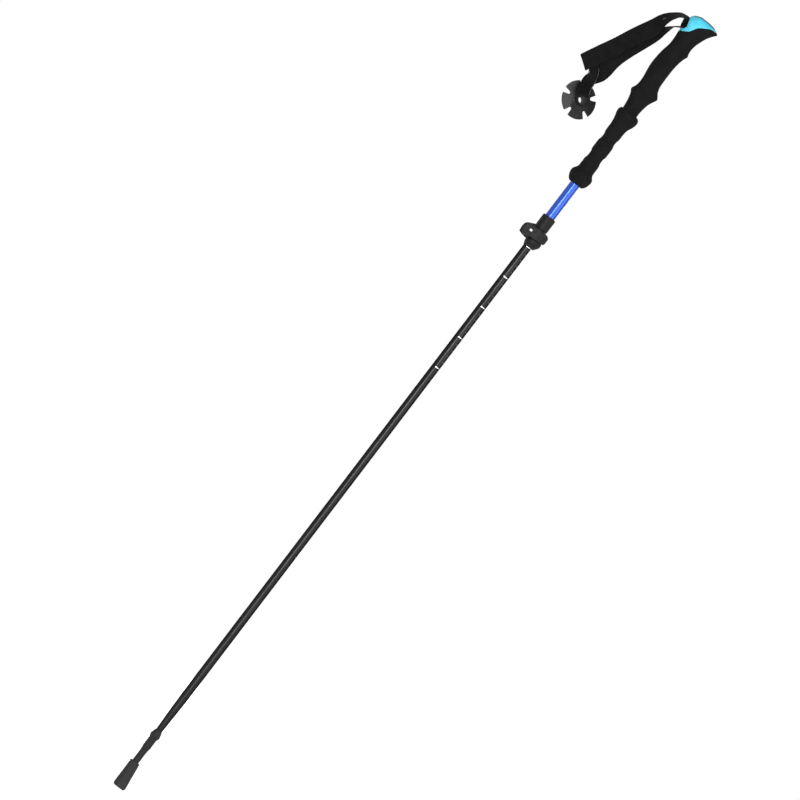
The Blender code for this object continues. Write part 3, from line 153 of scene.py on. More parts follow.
class Finish:
    """A material under construction: a Principled shader and short ways to add nodes to it."""

    def __init__(self, name, colour, roughness, metallic=0.0, specular=0.5):
        self.material = bpy.data.materials.new(name)
        self.material.use_nodes = True
        self.nodes = self.material.node_tree.nodes
        self.links = self.material.node_tree.links
        self.shader = self.nodes["Principled BSDF"]
        self.colour = (*colour, 1.0)
        self.set({"Base Color": self.colour, "Roughness": roughness})
        self.set({"Metallic": metallic, "Specular IOR Level": specular})
        self.place = self.nodes.new("ShaderNodeTexCoord")
        self.height = None

    def set(self, values, node=None):
        """Put constants on the inputs of the shader or of another node."""
        for name, value in values.items():
            (node or self.shader).inputs[name].default_value = value

    def put(self, socket, value):
        """Link a socket to another node's output, or put a constant on it."""
        if isinstance(value, bpy.types.NodeSocket):
            self.links.new(value, socket)
        else:
            socket.default_value = value

    def math(self, operation, first, second=0.0, third=0.0, clamp=False):
        node = self.nodes.new("ShaderNodeMath")
        node.operation = operation
        node.use_clamp = clamp
        self.put(node.inputs[0], first)
        self.put(node.inputs[1], second)
        self.put(node.inputs[2], third)
        return node.outputs[0]

    def times(self, first, second, clamp=False):
        return self.math("MULTIPLY", first, second, clamp=clamp)

    def plus(self, first, second):
        return self.math("ADD", first, second)

    def less(self, first, second):
        return self.math("SUBTRACT", first, second)

    def size_of(self, value):
        return self.math("ABSOLUTE", value)

    def stretched(self, size):
        """Coordinates of the piece, in units of one length or of three, in millimetres."""
        lengths = size if isinstance(size, tuple) else (size, size, size)
        node = self.nodes.new("ShaderNodeMapping")
        self.set({"Scale": [1.0 / (length * MM) for length in lengths]}, node)
        self.put(node.inputs["Vector"], self.place.outputs["Object"])
        return node.outputs["Vector"]

    def noise(self, size, detail=3.0, rough=0.55):
        node = self.nodes.new("ShaderNodeTexNoise")
        self.set({"Scale": 1.0, "Detail": detail, "Roughness": rough}, node)
        self.put(node.inputs["Vector"], self.stretched(size))
        return node.outputs["Fac"]

    def cells(self, size):
        node = self.nodes.new("ShaderNodeTexVoronoi")
        self.set({"Scale": 1.0}, node)
        self.put(node.inputs["Vector"], self.stretched(size))
        return node.outputs["Distance"]

    def ramp(self, value, low, high, out_low=0.0, out_high=1.0):
        node = self.nodes.new("ShaderNodeMapRange")
        self.put(node.inputs["Value"], value)
        self.set({"From Min": low, "From Max": high, "To Min": out_low, "To Max": out_high}, node)
        return node.outputs["Result"]

    def split(self, vector=None):
        node = self.nodes.new("ShaderNodeSeparateXYZ")
        self.put(node.inputs["Vector"], vector or self.place.outputs["Object"])
        return node.outputs["X"], node.outputs["Y"], node.outputs["Z"]

    def blend(self, amount, first, second):
        node = self.nodes.new("ShaderNodeMix")
        node.data_type = "RGBA"
        self.put(node.inputs[0], amount)
        for socket, colour in ((node.inputs[6], first), (node.inputs[7], second)):
            made = isinstance(colour, bpy.types.NodeSocket)
            self.put(socket, colour if made else (*colour[:3], 1.0))
        return node.outputs[2]

    def tones(self, amount, dark, light):
        """The finish's own colour between a darker and a lighter tone of itself."""
        low = [channel * dark for channel in self.colour[:3]]
        high = [min(1.0, channel * light) for channel in self.colour[:3]]
        return self.blend(amount, low, high)

    def painted(self):
        """The colour that the shader has so far."""
        base = self.shader.inputs["Base Color"]
        return base.links[0].from_socket if base.links else self.colour

    def paint(self, colour):
        self.put(self.shader.inputs["Base Color"], colour)

    def matte(self, roughness):
        self.put(self.shader.inputs["Roughness"], roughness)

    def bump(self, height, depth, strength):
        """Raise the surface by a height from 0 to 1 times a depth in metres, over earlier bumps."""
        node = self.nodes.new("ShaderNodeBump")
        self.set({"Strength": strength, "Distance": depth}, node)
        self.put(node.inputs["Height"], height)
        if self.height is not None:
            self.links.new(self.height, node.inputs["Normal"])
        self.height = node.outputs["Normal"]
        self.links.new(self.height, self.shader.inputs["Normal"])

    def worn_edges(self, colour, share):
        """Patchy rub marks of another colour where the surface turns sharply outward."""
        geometry = self.nodes.new("ShaderNodeNewGeometry")
        edge = self.ramp(geometry.outputs["Pointiness"], 0.53, 0.60)
        patchy = self.ramp(self.noise(3.0, detail=5.0), 0.42, 0.60)
        amount = self.times(self.times(edge, patchy, clamp=True), share)
        self.paint(self.blend(amount, self.painted(), colour))


def moulded(name, colour, roughness=0.48, specular=0.15):
    """Moulded plastic with a fine etched grain and faint rub marks."""
    finish = Finish(name, colour, roughness, specular=specular)
    grain = finish.noise(0.35, detail=2.0)
    rubbed = finish.noise(16, detail=2.0)
    specks = finish.noise(0.7, detail=3.0)
    mix = finish.plus(finish.times(rubbed, 0.4), finish.times(specks, 0.6))
    finish.paint(finish.tones(finish.ramp(mix, 0.35, 0.65), 0.94, 1.08))
    finish.worn_edges([min(1.0, channel * 2.5 + 0.015) for channel in colour], 0.4)
    finish.matte(finish.ramp(rubbed, 0.3, 0.7, roughness + 0.04, roughness - 0.03))
    finish.bump(grain, 0.04 * MM, 0.6)
    return finish


def moulded_plastic(*values):
    return moulded(*values).material


def basket_plastic(finishes, piece):
    """The basket's plastic, with a painted highlight: the side that lies away from the strap is
    painted paler in place of a lamp's sheen.
    """
    turn = piece.matrix_world.inverted()
    highlight_way = (turn.to_3x3() @ (LEVEL * -0.94 + RISE * 0.34)).normalized()
    middle = turn @ BASKET_MIDDLE
    finish = moulded("basket_plastic", finishes.basket, 0.42, 0.15)
    x, y, z = finish.split()
    along = finish.times(x, highlight_way.x)
    along = finish.math("MULTIPLY_ADD", y, highlight_way.y, along)
    along = finish.math("MULTIPLY_ADD", z, highlight_way.z, along)
    reach = finish.less(along, middle.dot(highlight_way))
    patchy = finish.ramp(finish.noise(5, detail=3.0), 0.3, 0.7, -1.5 * MM, 1.5 * MM)
    # Painted highlight: the paler colour over one side of the disc, with a ragged border
    amount = finish.ramp(finish.plus(reach, patchy), 8.0 * MM, 13.0 * MM)
    finish.paint(finish.blend(amount, finish.painted(), finishes.basket_painted_highlight))
    return finish.material


def foot_rubber(finishes):
    """Moulded rubber, dusty and scuffed near the sole."""
    finish = Finish("foot_rubber", finishes.rubber, 0.7, specular=0.12)
    _, _, z = finish.split()
    mottle = finish.noise((2.5, 2.5, 4), detail=5.0, rough=0.6)
    grain = finish.noise(0.3, detail=2.0)
    low = finish.ramp(z, 11 * MM, 0.0)
    scuffed = finish.times(low, finish.ramp(mottle, 0.45, 0.62), clamp=True)
    body = finish.tones(finish.ramp(mottle, 0.3, 0.7), 0.82, 1.18)
    finish.paint(finish.blend(finish.times(scuffed, 0.5), body, (0.12, 0.116, 0.108)))
    finish.matte(finish.ramp(mottle, 0.3, 0.7, 0.62, 0.82))
    finish.bump(grain, 0.05 * MM, 0.7)
    finish.bump(mottle, 0.15 * MM, 0.4)
    return finish.material


def anodised(name, colour, roughness, metallic):
    """Anodised tube: drawn lines along it and a faint unevenness of the dye."""
    finish = Finish(name, colour, roughness, metallic)
    drawn = finish.noise((0.12, 0.12, 45), detail=3.0, rough=0.6)
    cloud = finish.noise((6, 6, 60), detail=3.0)
    finish.matte(finish.ramp(drawn, 0.25, 0.75, roughness - 0.05, roughness + 0.07))
    finish.bump(drawn, 0.012 * MM, 0.5)
    return finish, cloud


# Height of the lowest mark of the shaft's scale
SCALE_START = 698.3 * MM


def scaled_shaft(finishes):
    """The black shaft with its printed scale, a long mark every 50 mm and fine ones between."""
    finish, cloud = anodised("black_anodised", finishes.shaft_black, 0.25, 1.0)
    finish.set({"Specular Tint": (0.0, 0.0, 0.0, 1.0)})
    body = finish.tones(finish.ramp(cloud, 0.3, 0.7), 0.85, 1.2)
    x, y, z = finish.split()
    turn = finish.math("ARCTAN2", x, finish.times(y, -1.0))

    def marks(first, pitch, half_height, middle, half_angle, low, high):
        """Marks every pitch up the shaft, on one side of it and between two heights."""
        along = finish.math("DIVIDE", finish.less(z, first), pitch)
        off = finish.size_of(finish.less(along, finish.math("ROUND", along)))
        line = finish.ramp(finish.times(off, pitch), half_height, half_height * 0.7)
        side = finish.ramp(finish.size_of(finish.less(turn, middle)), half_angle, half_angle - 0.04)
        above = finish.math("GREATER_THAN", z, low)
        inside = finish.times(above, finish.math("LESS_THAN", z, high))
        shown = finish.times(line, side, clamp=True)
        return finish.times(shown, inside, clamp=True)

    long_marks = marks(SCALE_START, 50 * MM, 0.55 * MM, 0.62, 0.80, 690 * MM, 910 * MM)
    fine_marks = marks(SCALE_START, 10 * MM, 0.22 * MM, 1.0, 0.30, 697 * MM, 900 * MM)
    worn = finish.ramp(finish.noise(0.9, detail=4.0), 0.30, 0.46)
    ink = finish.math("MAXIMUM", long_marks, finish.times(fine_marks, 0.55))
    finish.paint(finish.blend(finish.times(ink, worn), body, finishes.scale_white))
    return finish.material


def blue_tube(finishes):
    """Blue anodised tube under a thin clear coat."""
    finish, cloud = anodised("blue_anodised", finishes.tube_blue, 0.30, 0.9)
    finish.paint(finish.tones(finish.ramp(cloud, 0.3, 0.7), 0.9, 1.1))
    finish.set({"Specular Tint": (0.3, 0.4, 0.7, 1.0), "Coat Weight": 0.6, "Coat Roughness": 0.13})
    return finish.material


def grip_foam(finishes):
    """Moulded closed-cell foam: a fine skin of cells, matte, a little polished on the swells."""
    finish = Finish("eva_foam", finishes.foam, 0.85, specular=0.04)
    cells = finish.cells(0.75)
    fine = finish.noise(0.28, detail=2.0)
    cloud = finish.noise((14, 14, 22), detail=4.0, rough=0.6)
    mix = finish.plus(finish.times(cells, 0.5), finish.times(cloud, 0.7))
    finish.paint(finish.tones(finish.ramp(mix, 0.25, 0.85), 0.8, 1.25))
    finish.matte(finish.ramp(cloud, 0.3, 0.7, 0.92, 0.74))
    finish.set({"Sheen Weight": 0.02, "Sheen Roughness": 0.5})
    finish.bump(cells, 0.12 * MM, 0.5)
    finish.bump(fine, 0.05 * MM, 0.5)
    return finish.material


def cap_plastic(finishes):
    """Bright satin plastic with a fine etched grain, its edges a little paler from use."""
    finish = Finish("cap_blue", finishes.cap_blue, 0.42, specular=0.30)
    grain = finish.noise(0.4, detail=2.0)
    cloud = finish.noise(8, detail=4.0)
    finish.paint(finish.tones(finish.ramp(cloud, 0.3, 0.7), 0.94, 1.05))
    finish.worn_edges((0.18, 0.68, 0.92), 0.35)
    finish.matte(finish.ramp(cloud, 0.3, 0.7, 0.48, 0.36))
    finish.set({"Subsurface Weight": 0.06, "Subsurface Radius": (0.3 * MM, 0.8 * MM, 1.2 * MM)})
    finish.bump(grain, 0.03 * MM, 0.5)
    return finish.material


def steel(name, colour, roughness=0.3, metallic=1.0):
    """Turned steel with fine tool lines and faint stains."""
    finish = Finish(name, colour, roughness, metallic)
    turned = finish.noise((0.25, 4, 0.25), detail=3.0)
    stain = finish.noise(3, detail=4.0)
    finish.paint(finish.tones(finish.ramp(stain, 0.3, 0.7), 0.8, 1.1))
    finish.matte(finish.ramp(turned, 0.3, 0.7, roughness - 0.07, roughness + 0.1))
    finish.bump(turned, 0.01 * MM, 0.6)
    return finish.material


def woven(name, colour, pitch):
    """Woven webbing, laid out by its UV map in metres: ribs along it and picks across, with painted
    shade between the yarns.
    """
    finish = Finish(name, colour, 0.8, specular=0.05)
    u, v, _ = finish.split(finish.place.outputs["UV"])
    rib = finish.math("DIVIDE", u, pitch)
    row = finish.math("DIVIDE", v, pitch * 0.82)
    shift = finish.times(finish.math("PINGPONG", finish.math("FLOOR", rib), 1.0), 0.5)
    staggered = finish.times(finish.plus(row, shift), math.pi)
    pick = finish.size_of(finish.math("SINE", staggered))
    crown = finish.size_of(finish.math("SINE", finish.times(rib, math.pi)))
    rounded = finish.plus(finish.times(pick, 0.6), 0.4)
    yarn = finish.times(finish.math("POWER", crown, 0.6), rounded)
    fuzz = finish.noise(0.22, detail=2.0)
    rubbed = finish.noise(11, detail=4.0, rough=0.6)
    # Painted highlight and shade mixed with wear: yarn crowns painted lighter, the gaps between
    # yarns darker, over rubbed patches
    tone = finish.plus(finish.times(yarn, 0.7), finish.times(rubbed, 0.5))
    finish.paint(finish.tones(finish.ramp(tone, 0.25, 1.0), 0.6, 1.5))
    finish.matte(finish.ramp(rubbed, 0.3, 0.7, 0.86, 0.62))
    finish.set({"Sheen Weight": 0.04, "Sheen Roughness": 0.4})
    finish.bump(yarn, 0.16 * MM, 0.7)
    finish.bump(fuzz, 0.05 * MM, 0.4)
    return finish.material


def braided(name, colour, pitch, specular=0.10):
    """Braid or twisted thread, laid out by its UV map in metres: two sets of slanting strands."""
    finish = Finish(name, colour, 0.75, specular=specular)
    u, v, _ = finish.split(finish.place.outputs["UV"])
    right = finish.times(finish.plus(u, v), math.pi / pitch)
    left = finish.times(finish.less(u, v), math.pi / pitch)
    first = finish.size_of(finish.math("SINE", right))
    second = finish.size_of(finish.math("SINE", left))
    strands = finish.math("MAXIMUM", first, second)
    # Painted highlight and shade: the strands' crowns painted lighter and the grooves between them
    # darker
    finish.paint(finish.tones(strands, 0.6, 1.4))
    finish.matte(finish.ramp(strands, 0.0, 1.0, 0.9, 0.65))
    finish.bump(strands, 0.10 * MM, 0.7)
    return finish.material


# Shapes


def rounded_edges():
    """A node group that merges a piece's faces and shades it smooth, sharp only at real edges."""
    group = bpy.data.node_groups.get("clean_shading")
    if group:
        return group
    group = bpy.data.node_groups.new("clean_shading", "GeometryNodeTree")
    group.interface.new_socket("Geometry", in_out="INPUT", socket_type="NodeSocketGeometry")
    group.interface.new_socket("Geometry", in_out="OUTPUT", socket_type="NodeSocketGeometry")
    nodes, links = group.nodes, group.links
    start = nodes.new("NodeGroupInput")
    end = nodes.new("NodeGroupOutput")
    merge = nodes.new("GeometryNodeMergeByDistance")
    merge.inputs["Distance"].default_value = 0.004 * MM
    angle = nodes.new("GeometryNodeInputMeshEdgeAngle")
    sharp = nodes.new("FunctionNodeCompare")
    sharp.data_type = "FLOAT"
    sharp.operation = "GREATER_THAN"
    sharp.inputs[1].default_value = math.radians(34.0)
    normal = nodes.new("GeometryNodeSetMeshNormal")
    normal.mode = "SHARPNESS"
    normal.inputs["Remove Custom"].default_value = True
    normal.inputs["Face Sharpness"].default_value = False
    links.new(start.outputs[0], merge.inputs["Geometry"])
    links.new(merge.outputs["Geometry"], normal.inputs["Mesh"])
    links.new(angle.outputs["Unsigned Angle"], sharp.inputs[0])
    links.new(sharp.outputs["Result"], normal.inputs["Edge Sharpness"])
    links.new(normal.outputs["Mesh"], end.inputs[0])
    return group


def finish_node(name, material, edge=0.0):
    """Give a CAD piece its finish, smooth shading and, where edge is set, slightly rounded edges."""
    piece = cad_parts[name]
    for slot in piece.material_slots:
        slot.link = "OBJECT"
        slot.material = material
    clean = piece.modifiers.new("clean_shading", "NODES")
    clean.node_group = rounded_edges()
    if edge:
        bevel = piece.modifiers.new("rounded_edges", "BEVEL")
        bevel.width = edge
        bevel.segments = 2
        bevel.limit_method = "ANGLE"
        bevel.angle_limit = math.radians(40.0)
        bevel.use_clamp_overlap = True
        weight = piece.modifiers.new("even_normals", "WEIGHTED_NORMAL")
        weight.keep_sharp = True
    return piece


MADE = {}


def shared(name, build, *values):
    """A material that several pieces share, built the first time that it is asked for."""
    if name not in MADE:
        MADE[name] = build(name, *values)
    return MADE[name]


def bright_steel():
    return shared("steel", steel, (0.62, 0.62, 0.64))


def tip_plastic(finishes):
    return shared("tip_plastic", moulded_plastic, finishes.tip_plastic)


def new_object(name, data):
    piece = bpy.data.objects.new(name, data)
    bpy.context.scene.collection.objects.link(piece)
    return piece


def mesh_piece(name, vertices, faces, material, layout=None, sharp=60.0):
    """A new piece from points and faces, with a UV place for each point where layout gives one."""
    mesh = bpy.data.meshes.new(name)
    mesh.from_pydata(vertices, [], faces)
    if layout:
        uv = mesh.uv_layers.new(name="cloth")
        for loop in mesh.loops:
            uv.data[loop.index].uv = layout[loop.vertex_index]
    mesh.validate()
    mesh.shade_smooth()
    mesh.set_sharp_from_angle(angle=math.radians(sharp))
    mesh.materials.append(material)
    return new_object(name, mesh)


def ring_faces(rings, count, closed):
    """Faces between rings of count points each; closed joins the last ring to the first."""
    faces = []
    for i in range(rings if closed else rings - 1):
        here, there = i * count, (i + 1) % rings * count
        for k in range(count):
            j = (k + 1) % count
            faces.append((here + k, here + j, there + j, there + k))
    return faces


def through(before, start, end, after, t):
    """A point between start and end on the smooth curve through four points."""
    return 0.5 * (
        2 * start
        + (end - before) * t
        + (2 * before - 5 * start + 4 * end - after) * t * t
        + (3 * start - before - 3 * end + after) * t * t * t
    )


def smooth_rows(rows, steps):
    """More rows of numbers or vectors on a smooth curve through the given ones."""
    out = []
    for i in range(len(rows) - 1):
        four = [rows[min(max(k, 0), len(rows) - 1)] for k in (i - 1, i, i + 1, i + 2)]
        for k in range(steps):
            out.append(tuple(through(*column, k / steps) for column in zip(*four)))
    out.append(tuple(rows[-1]))
    return out


# Heights of the foam grips' lower ends, and of the lower grip's lip over its own, in millimetres
GRIP_FOOT = 1003.0
GRIP_LIP = 119.2
HAND_FOOT = 1119.5
# The foam's side outlines, as in the solids: height over the grip's lower end, reach back, reach
# forward, half width
LOWER_OUTLINE = [
    (0.0, 9.8, 9.8, 9.8),
    (1.4, 11.8, 11.8, 11.6),
    (4.6, 14.0, 14.0, 13.6),
    (8.6, 15.6, 15.4, 15.0),
    (12.6, 16.3, 16.1, 15.6),
    (16.2, 15.6, 15.8, 15.2),
    (19.6, 13.2, 13.3, 13.0),
    (22.6, 11.7, 11.8, 11.6),
    (27.0, 11.4, 11.5, 11.3),
    (36.0, 11.4, 11.4, 11.2),
    (40.0, 10.3, 10.4, 10.2),
    (44.5, 10.0, 10.0, 9.9),
    (49.0, 10.3, 10.3, 10.2),
    (52.5, 11.4, 11.3, 11.2),
    (66.0, 11.4, 11.3, 11.2),
    (70.0, 10.4, 10.4, 10.3),
    (74.0, 10.1, 10.0, 10.0),
    (78.0, 10.4, 10.5, 10.4),
    (82.0, 11.4, 11.3, 11.2),
    (92.0, 11.5, 11.5, 11.4),
    (98.0, 12.0, 12.6, 12.0),
    (104.0, 13.1, 15.2, 13.4),
    (109.0, 14.6, 16.9, 14.8),
    (113.0, 15.2, 17.2, 15.4),
    (115.4, 15.1, 16.8, 15.3),
    (117.2, 14.5, 15.5, 14.7),
    (118.5, 13.5, 13.9, 13.6),
    (GRIP_LIP, 12.6, 12.7, 12.6),
]
# The same for the hand grip, with a last column for how much its front is narrowed
UPPER_OUTLINE = [
    (0.3, 10.9, 10.9, 11.2, 0.0),
    (4.0, 11.4, 11.2, 11.6, 0.0),
    (11.0, 12.1, 11.3, 12.0, 0.02),
    (19.0, 13.6, 12.3, 12.8, 0.05),
    (25.0, 15.4, 13.7, 13.4, 0.08),
    (28.5, 17.6, 15.0, 13.8, 0.10),
    (31.0, 18.0, 16.2, 13.9, 0.11),
    (34.5, 16.4, 18.0, 13.7, 0.12),
    (37.8, 15.2, 19.3, 13.4, 0.12),
    (41.0, 14.6, 17.6, 13.1, 0.10),
    (46.0, 14.3, 14.2, 12.8, 0.07),
    (53.0, 14.8, 12.1, 12.8, 0.04),
    (61.0, 16.0, 11.5, 13.2, 0.03),
    (70.0, 17.1, 11.4, 13.5, 0.03),
    (79.0, 17.1, 11.5, 13.4, 0.03),
    (87.0, 16.6, 11.9, 13.1, 0.05),
    (95.0, 15.7, 13.0, 12.7, 0.08),
    (102.0, 14.3, 14.8, 12.5, 0.12),
    (107.2, 13.4, 16.9, 12.4, 0.15),
    (110.4, 13.2, 15.9, 12.3, 0.15),
    (114.6, 13.1, 15.2, 12.4, 0.16),
    (120.0, 13.4, 15.2, 12.7, 0.18),
    (127.0, 14.0, 16.5, 13.1, 0.22),
    (134.0, 14.2, 18.9, 13.5, 0.28),
    (141.0, 13.9, 21.7, 13.8, 0.36),
    (147.0, 13.5, 25.3, 13.6, 0.44),
    (151.5, 12.8, 28.8, 12.9, 0.52),
    (154.0, 12.0, 30.7, 12.2, 0.58),
    (156.6, 9.8, 28.0, 11.0, 0.56),
    (158.6, 6.5, 23.8, 9.0, 0.50),
    (160.1, 2.6, 18.8, 6.4, 0.42),
    (160.8, 0.2, 13.0, 3.2, 0.30),
]
# Where the cap sits on the foam, seen from the side: forward of the axis, height over the lower end
CAP_SEAM = [
    (-20.0, 129.4),
    (-13.2, 129.6),
    (-8.1, 131.4),
    (-2.4, 134.7),
    (1.1, 140.5),
    (5.1, 146.0),
    (11.7, 150.5),
    (17.9, 154.3),
    (23.9, 155.7),
    (28.6, 156.1),
    (40.0, 156.6),
]
# Bores of the foam: the tube's, the socket in the lip, the screw's, and the top of the tube's plug
TUBE_BORE = 7.4
SOCKET_BORE = 11.9
SCREW_BORE = 2.1
PLUG_TOP = 119.6
BORE_STEP = 60.0
# The gap that the foam keeps under the cap
CAP_GAP = 0.15
# The search for the seam's height: its first guess, its rounds and the share of the way in each
SEAM_GUESS = 140.0
SEAM_ROUNDS = 40
SEAM_STRIDE = 0.4


class Table:
    """Rows of numbers, read at any value of their first column."""

    def __init__(self, rows):
        self.rows = smooth_rows(rows, 8)
        self.keys = [row[0] for row in self.rows]

    def at(self, key):
        k = min(max(bisect.bisect_right(self.keys, key) - 1, 0), len(self.rows) - 2)
        low, high = self.rows[k], self.rows[k + 1]
        share = min(1.0, max(0.0, (key - low[0]) / (high[0] - low[0])))
        return [a + (b - a) * share for a, b in zip(low[1:], high[1:])]


def outline_point(table, turn, height, inset=0.0):
    """A point of the handle's skin in millimetres, at an angle about the pole and a height."""
    back, front, half_width, *narrowed = table.at(height)
    narrowing = narrowed[0] if narrowed else 0.0
    along, across = math.cos(turn), math.sin(turn)
    x = (front if along > 0.0 else back) * along
    y = half_width * across * (1.0 - narrowing * max(0.0, along) ** 1.5)
    keep = 1.0 - inset / math.hypot(x, y)
    return x * keep, y * keep


def level_on(table, turn, line):
    """The height at which the skin meets a line of heights over its forward reach."""
    height = SEAM_GUESS
    for _ in range(SEAM_ROUNDS):
        x, _ = outline_point(table, turn, height)
        height += SEAM_STRIDE * (line(x) - height)
    return height


def foam_grip(name, outline, foot, low, line, bores, settings, material):
    """A foam grip: its skin from a low level up to a line, rounded edges, and its bores inside."""
    table = Table(outline)
    edge = settings.edge / MM
    rounding = [(0.0, edge), (0.3 * edge, 0.3 * edge), (edge, 0.0)]
    turns = [math.tau * i / settings.turns for i in range(settings.turns)]
    tops = [level_on(table, turn, line) for turn in turns]
    rows = round((max(tops) - low) / (settings.rise / MM))
    columns = []
    for turn, top in zip(turns, tops):
        column = [(*outline_point(table, turn, low + up, inset), low + up) for up, inset in rounding]
        for k in range(1, rows):
            height = low + edge + (top - low - 2 * edge) * k / rows
            column.append((*outline_point(table, turn, height), height))
        for down, inset in reversed(rounding):
            column.append((*outline_point(table, turn, top - down, inset), top - down))
        rim = Vector(column[-1][:2])
        outward = Vector((math.cos(turn), math.sin(turn)))
        for share in (0.7, 0.35):
            x, y = (outward * bores[0][0]).lerp(rim, share)
            column.append((x, y, line(x)))
        for radius, height in bores:
            x, y = outward * radius
            column.append((x, y, line(x) if height is None else height))
        columns.append(column)
    points = [(x * MM, y * MM, (foot + z) * MM) for column in columns for x, y, z in column]
    faces = ring_faces(len(columns), len(columns[0]), True)
    return mesh_piece(name, points, faces, material, sharp=50.0)


def along_stations(stations, step):
    """Even steps along the smooth curve through stations of (centre, half span)."""
    fine = smooth_rows(stations, 24)
    lengths = [0.0]
    for here, there in zip(fine, fine[1:]):
        lengths.append(lengths[-1] + (there[0] - here[0]).length)
    count = max(2, round(lengths[-1] / step))
    rows, k = [], 0
    for i in range(count + 1):
        target = lengths[-1] * i / count
        while k < len(fine) - 2 and lengths[k + 1] < target:
            k += 1
        t = (target - lengths[k]) / max(1e-9, lengths[k + 1] - lengths[k])
        centre, half = (here.lerp(there, t) for here, there in zip(fine[k], fine[k + 1]))
        rows.append((centre, half, target))
    return rows


def webbing_frame(rows, i):
    """The directions along the webbing, across it and out of its face."""
    ahead = rows[min(i + 1, len(rows) - 1)][0]
    behind = rows[max(i - 1, 0)][0]
    along = (ahead - behind).normalized()
    across = rows[i][1].normalized()
    return along, across, along.cross(across).normalized()


# The webbing's cross-section: a bead runs along just inside each edge, and the edge is rounded.
# The shares are of the half width, and the rise is one of the thickness.
BEAD_PLACE = 0.9
BEAD_WIDTH = 0.06
BEAD_RISE = 0.14


def webbing_strip(name, rows, strap, material, cup=0.0):
    """A length of webbing with rounded, slightly thicker edges and a UV map in metres."""
    shares = [-1.0 + 2.0 * i / strap.across for i in range(strap.across + 1)]
    shares = [math.copysign(abs(a) ** 0.8, a) for a in shares]
    vertices, layout = [], []
    for i, (centre, span, distance) in enumerate(rows):
        _, across, normal = webbing_frame(rows, i)
        reach = span.length
        for face in (-1, 1):
            for share in shares[::face]:
                edge = abs(share)
                bead = 1.0 + BEAD_RISE * math.exp(-(((edge - BEAD_PLACE) / BEAD_WIDTH) ** 2))
                thick = strap.thickness / 2 * (1.0 - edge**12) ** 0.35 * bead
                lift = cup * (share * share - 0.33)
                vertices.append(centre + across * share * reach + normal * (face * thick + lift))
                layout.append((share * reach, distance))
    ring = 2 * len(shares)
    faces = ring_faces(len(rows), ring, False)
    last = (len(rows) - 1) * ring
    faces.append(tuple(range(ring))[::-1])
    faces.append(tuple(range(last, last + ring)))
    return mesh_piece(name, vertices, faces, material, layout)


# Rings of points along a stitch, and points in each ring
STITCH_RINGS = 9
STITCH_SIDES = 6


def stitches(name, places, radius, material):
    """Stitches that dip into the webbing at both ends, each from its middle, half and way out."""
    vertices, faces, layout = [], [], []
    tube = ring_faces(STITCH_RINGS, STITCH_SIDES, False)
    for middle, half, normal in places:
        base = len(vertices)
        aside = half.cross(normal).normalized()
        for k in range(STITCH_RINGS):
            reach = -1.0 + 2.0 * k / (STITCH_RINGS - 1)
            arch = math.sqrt(max(0.0, 1.0 - reach**4))
            spine = middle + half * reach - normal * radius * (1.0 - arch)
            for turn in range(STITCH_SIDES):
                angle = math.tau * turn / STITCH_SIDES
                round_off = (aside * math.cos(angle) + normal * math.sin(angle)) * radius
                vertices.append(spine + round_off * (0.35 + 0.65 * arch))
                layout.append((angle * radius, reach * half.length))
        end = len(vertices)
        faces += [tuple(base + v for v in face) for face in tube]
        faces.append(tuple(range(base, base + STITCH_SIDES))[::-1])
        faces.append(tuple(range(end - STITCH_SIDES, end)))
    return mesh_piece(name, vertices, faces, material, layout, sharp=80.0)


def on_webbing(rows, i, share, strap):
    """A stitch's place on a row of webbing, with the directions along, across and out."""
    along, across, normal = webbing_frame(rows, i)
    lift = strap.thickness / 2 + 0.15 * strap.thread
    return rows[i][0] + rows[i][1] * share + normal * lift, along, across, normal


def bar_tack(name, rows, place, share, strap, material, length, width=1.6 * MM):
    """A block of close stitches sewn through the webbing, at the row nearest to a place."""
    nearest = min(range(len(rows)), key=lambda i: (rows[i][0] - place).length)
    centre, along, across, normal = on_webbing(rows, nearest, share, strap)
    pitch = strap.thread * 1.25
    count = max(3, round(length / pitch))
    places = []
    for i in range(count):
        sway = 0.12 * width * math.sin(2.4 * i)
        middle = centre + along * (i - (count - 1) / 2) * pitch + across * sway
        places.append((middle, across * width / 2, normal))
    return stitches(name, places, strap.thread / 2, material)


def edge_stitches(name, rows, first, last, share, strap, material, pitch=2.4 * MM):
    """A row of stitches along the webbing, from one distance along it to another."""
    places = []
    for i, row in enumerate(rows):
        if row[2] < first + len(places) * pitch or row[2] > last:
            continue
        middle, along, _, normal = on_webbing(rows, i, share, strap)
        places.append((middle, along * 0.46 * pitch, normal))
    return stitches(name, places, strap.thread / 2, material)


def cord_ring(name, points, out, radius, material, sides=12):
    """A closed ring of cord that lies in one plane, out being the direction square to that plane."""
    vertices, layout, distance = [], [], 0.0
    for i, point in enumerate(points):
        along = (points[(i + 1) % len(points)] - points[i - 1]).normalized()
        inward = out.cross(along)
        for k in range(sides):
            angle = math.tau * k / sides
            vertices.append(point + (out * math.cos(angle) + inward * math.sin(angle)) * radius)
            layout.append((angle * radius, distance))
        distance += (points[(i + 1) % len(points)] - point).length
    return mesh_piece(name, vertices, ring_faces(len(points), sides, True), material, layout)


def millimetres(x, y, z):
    return Vector((x, y, z)) * MM


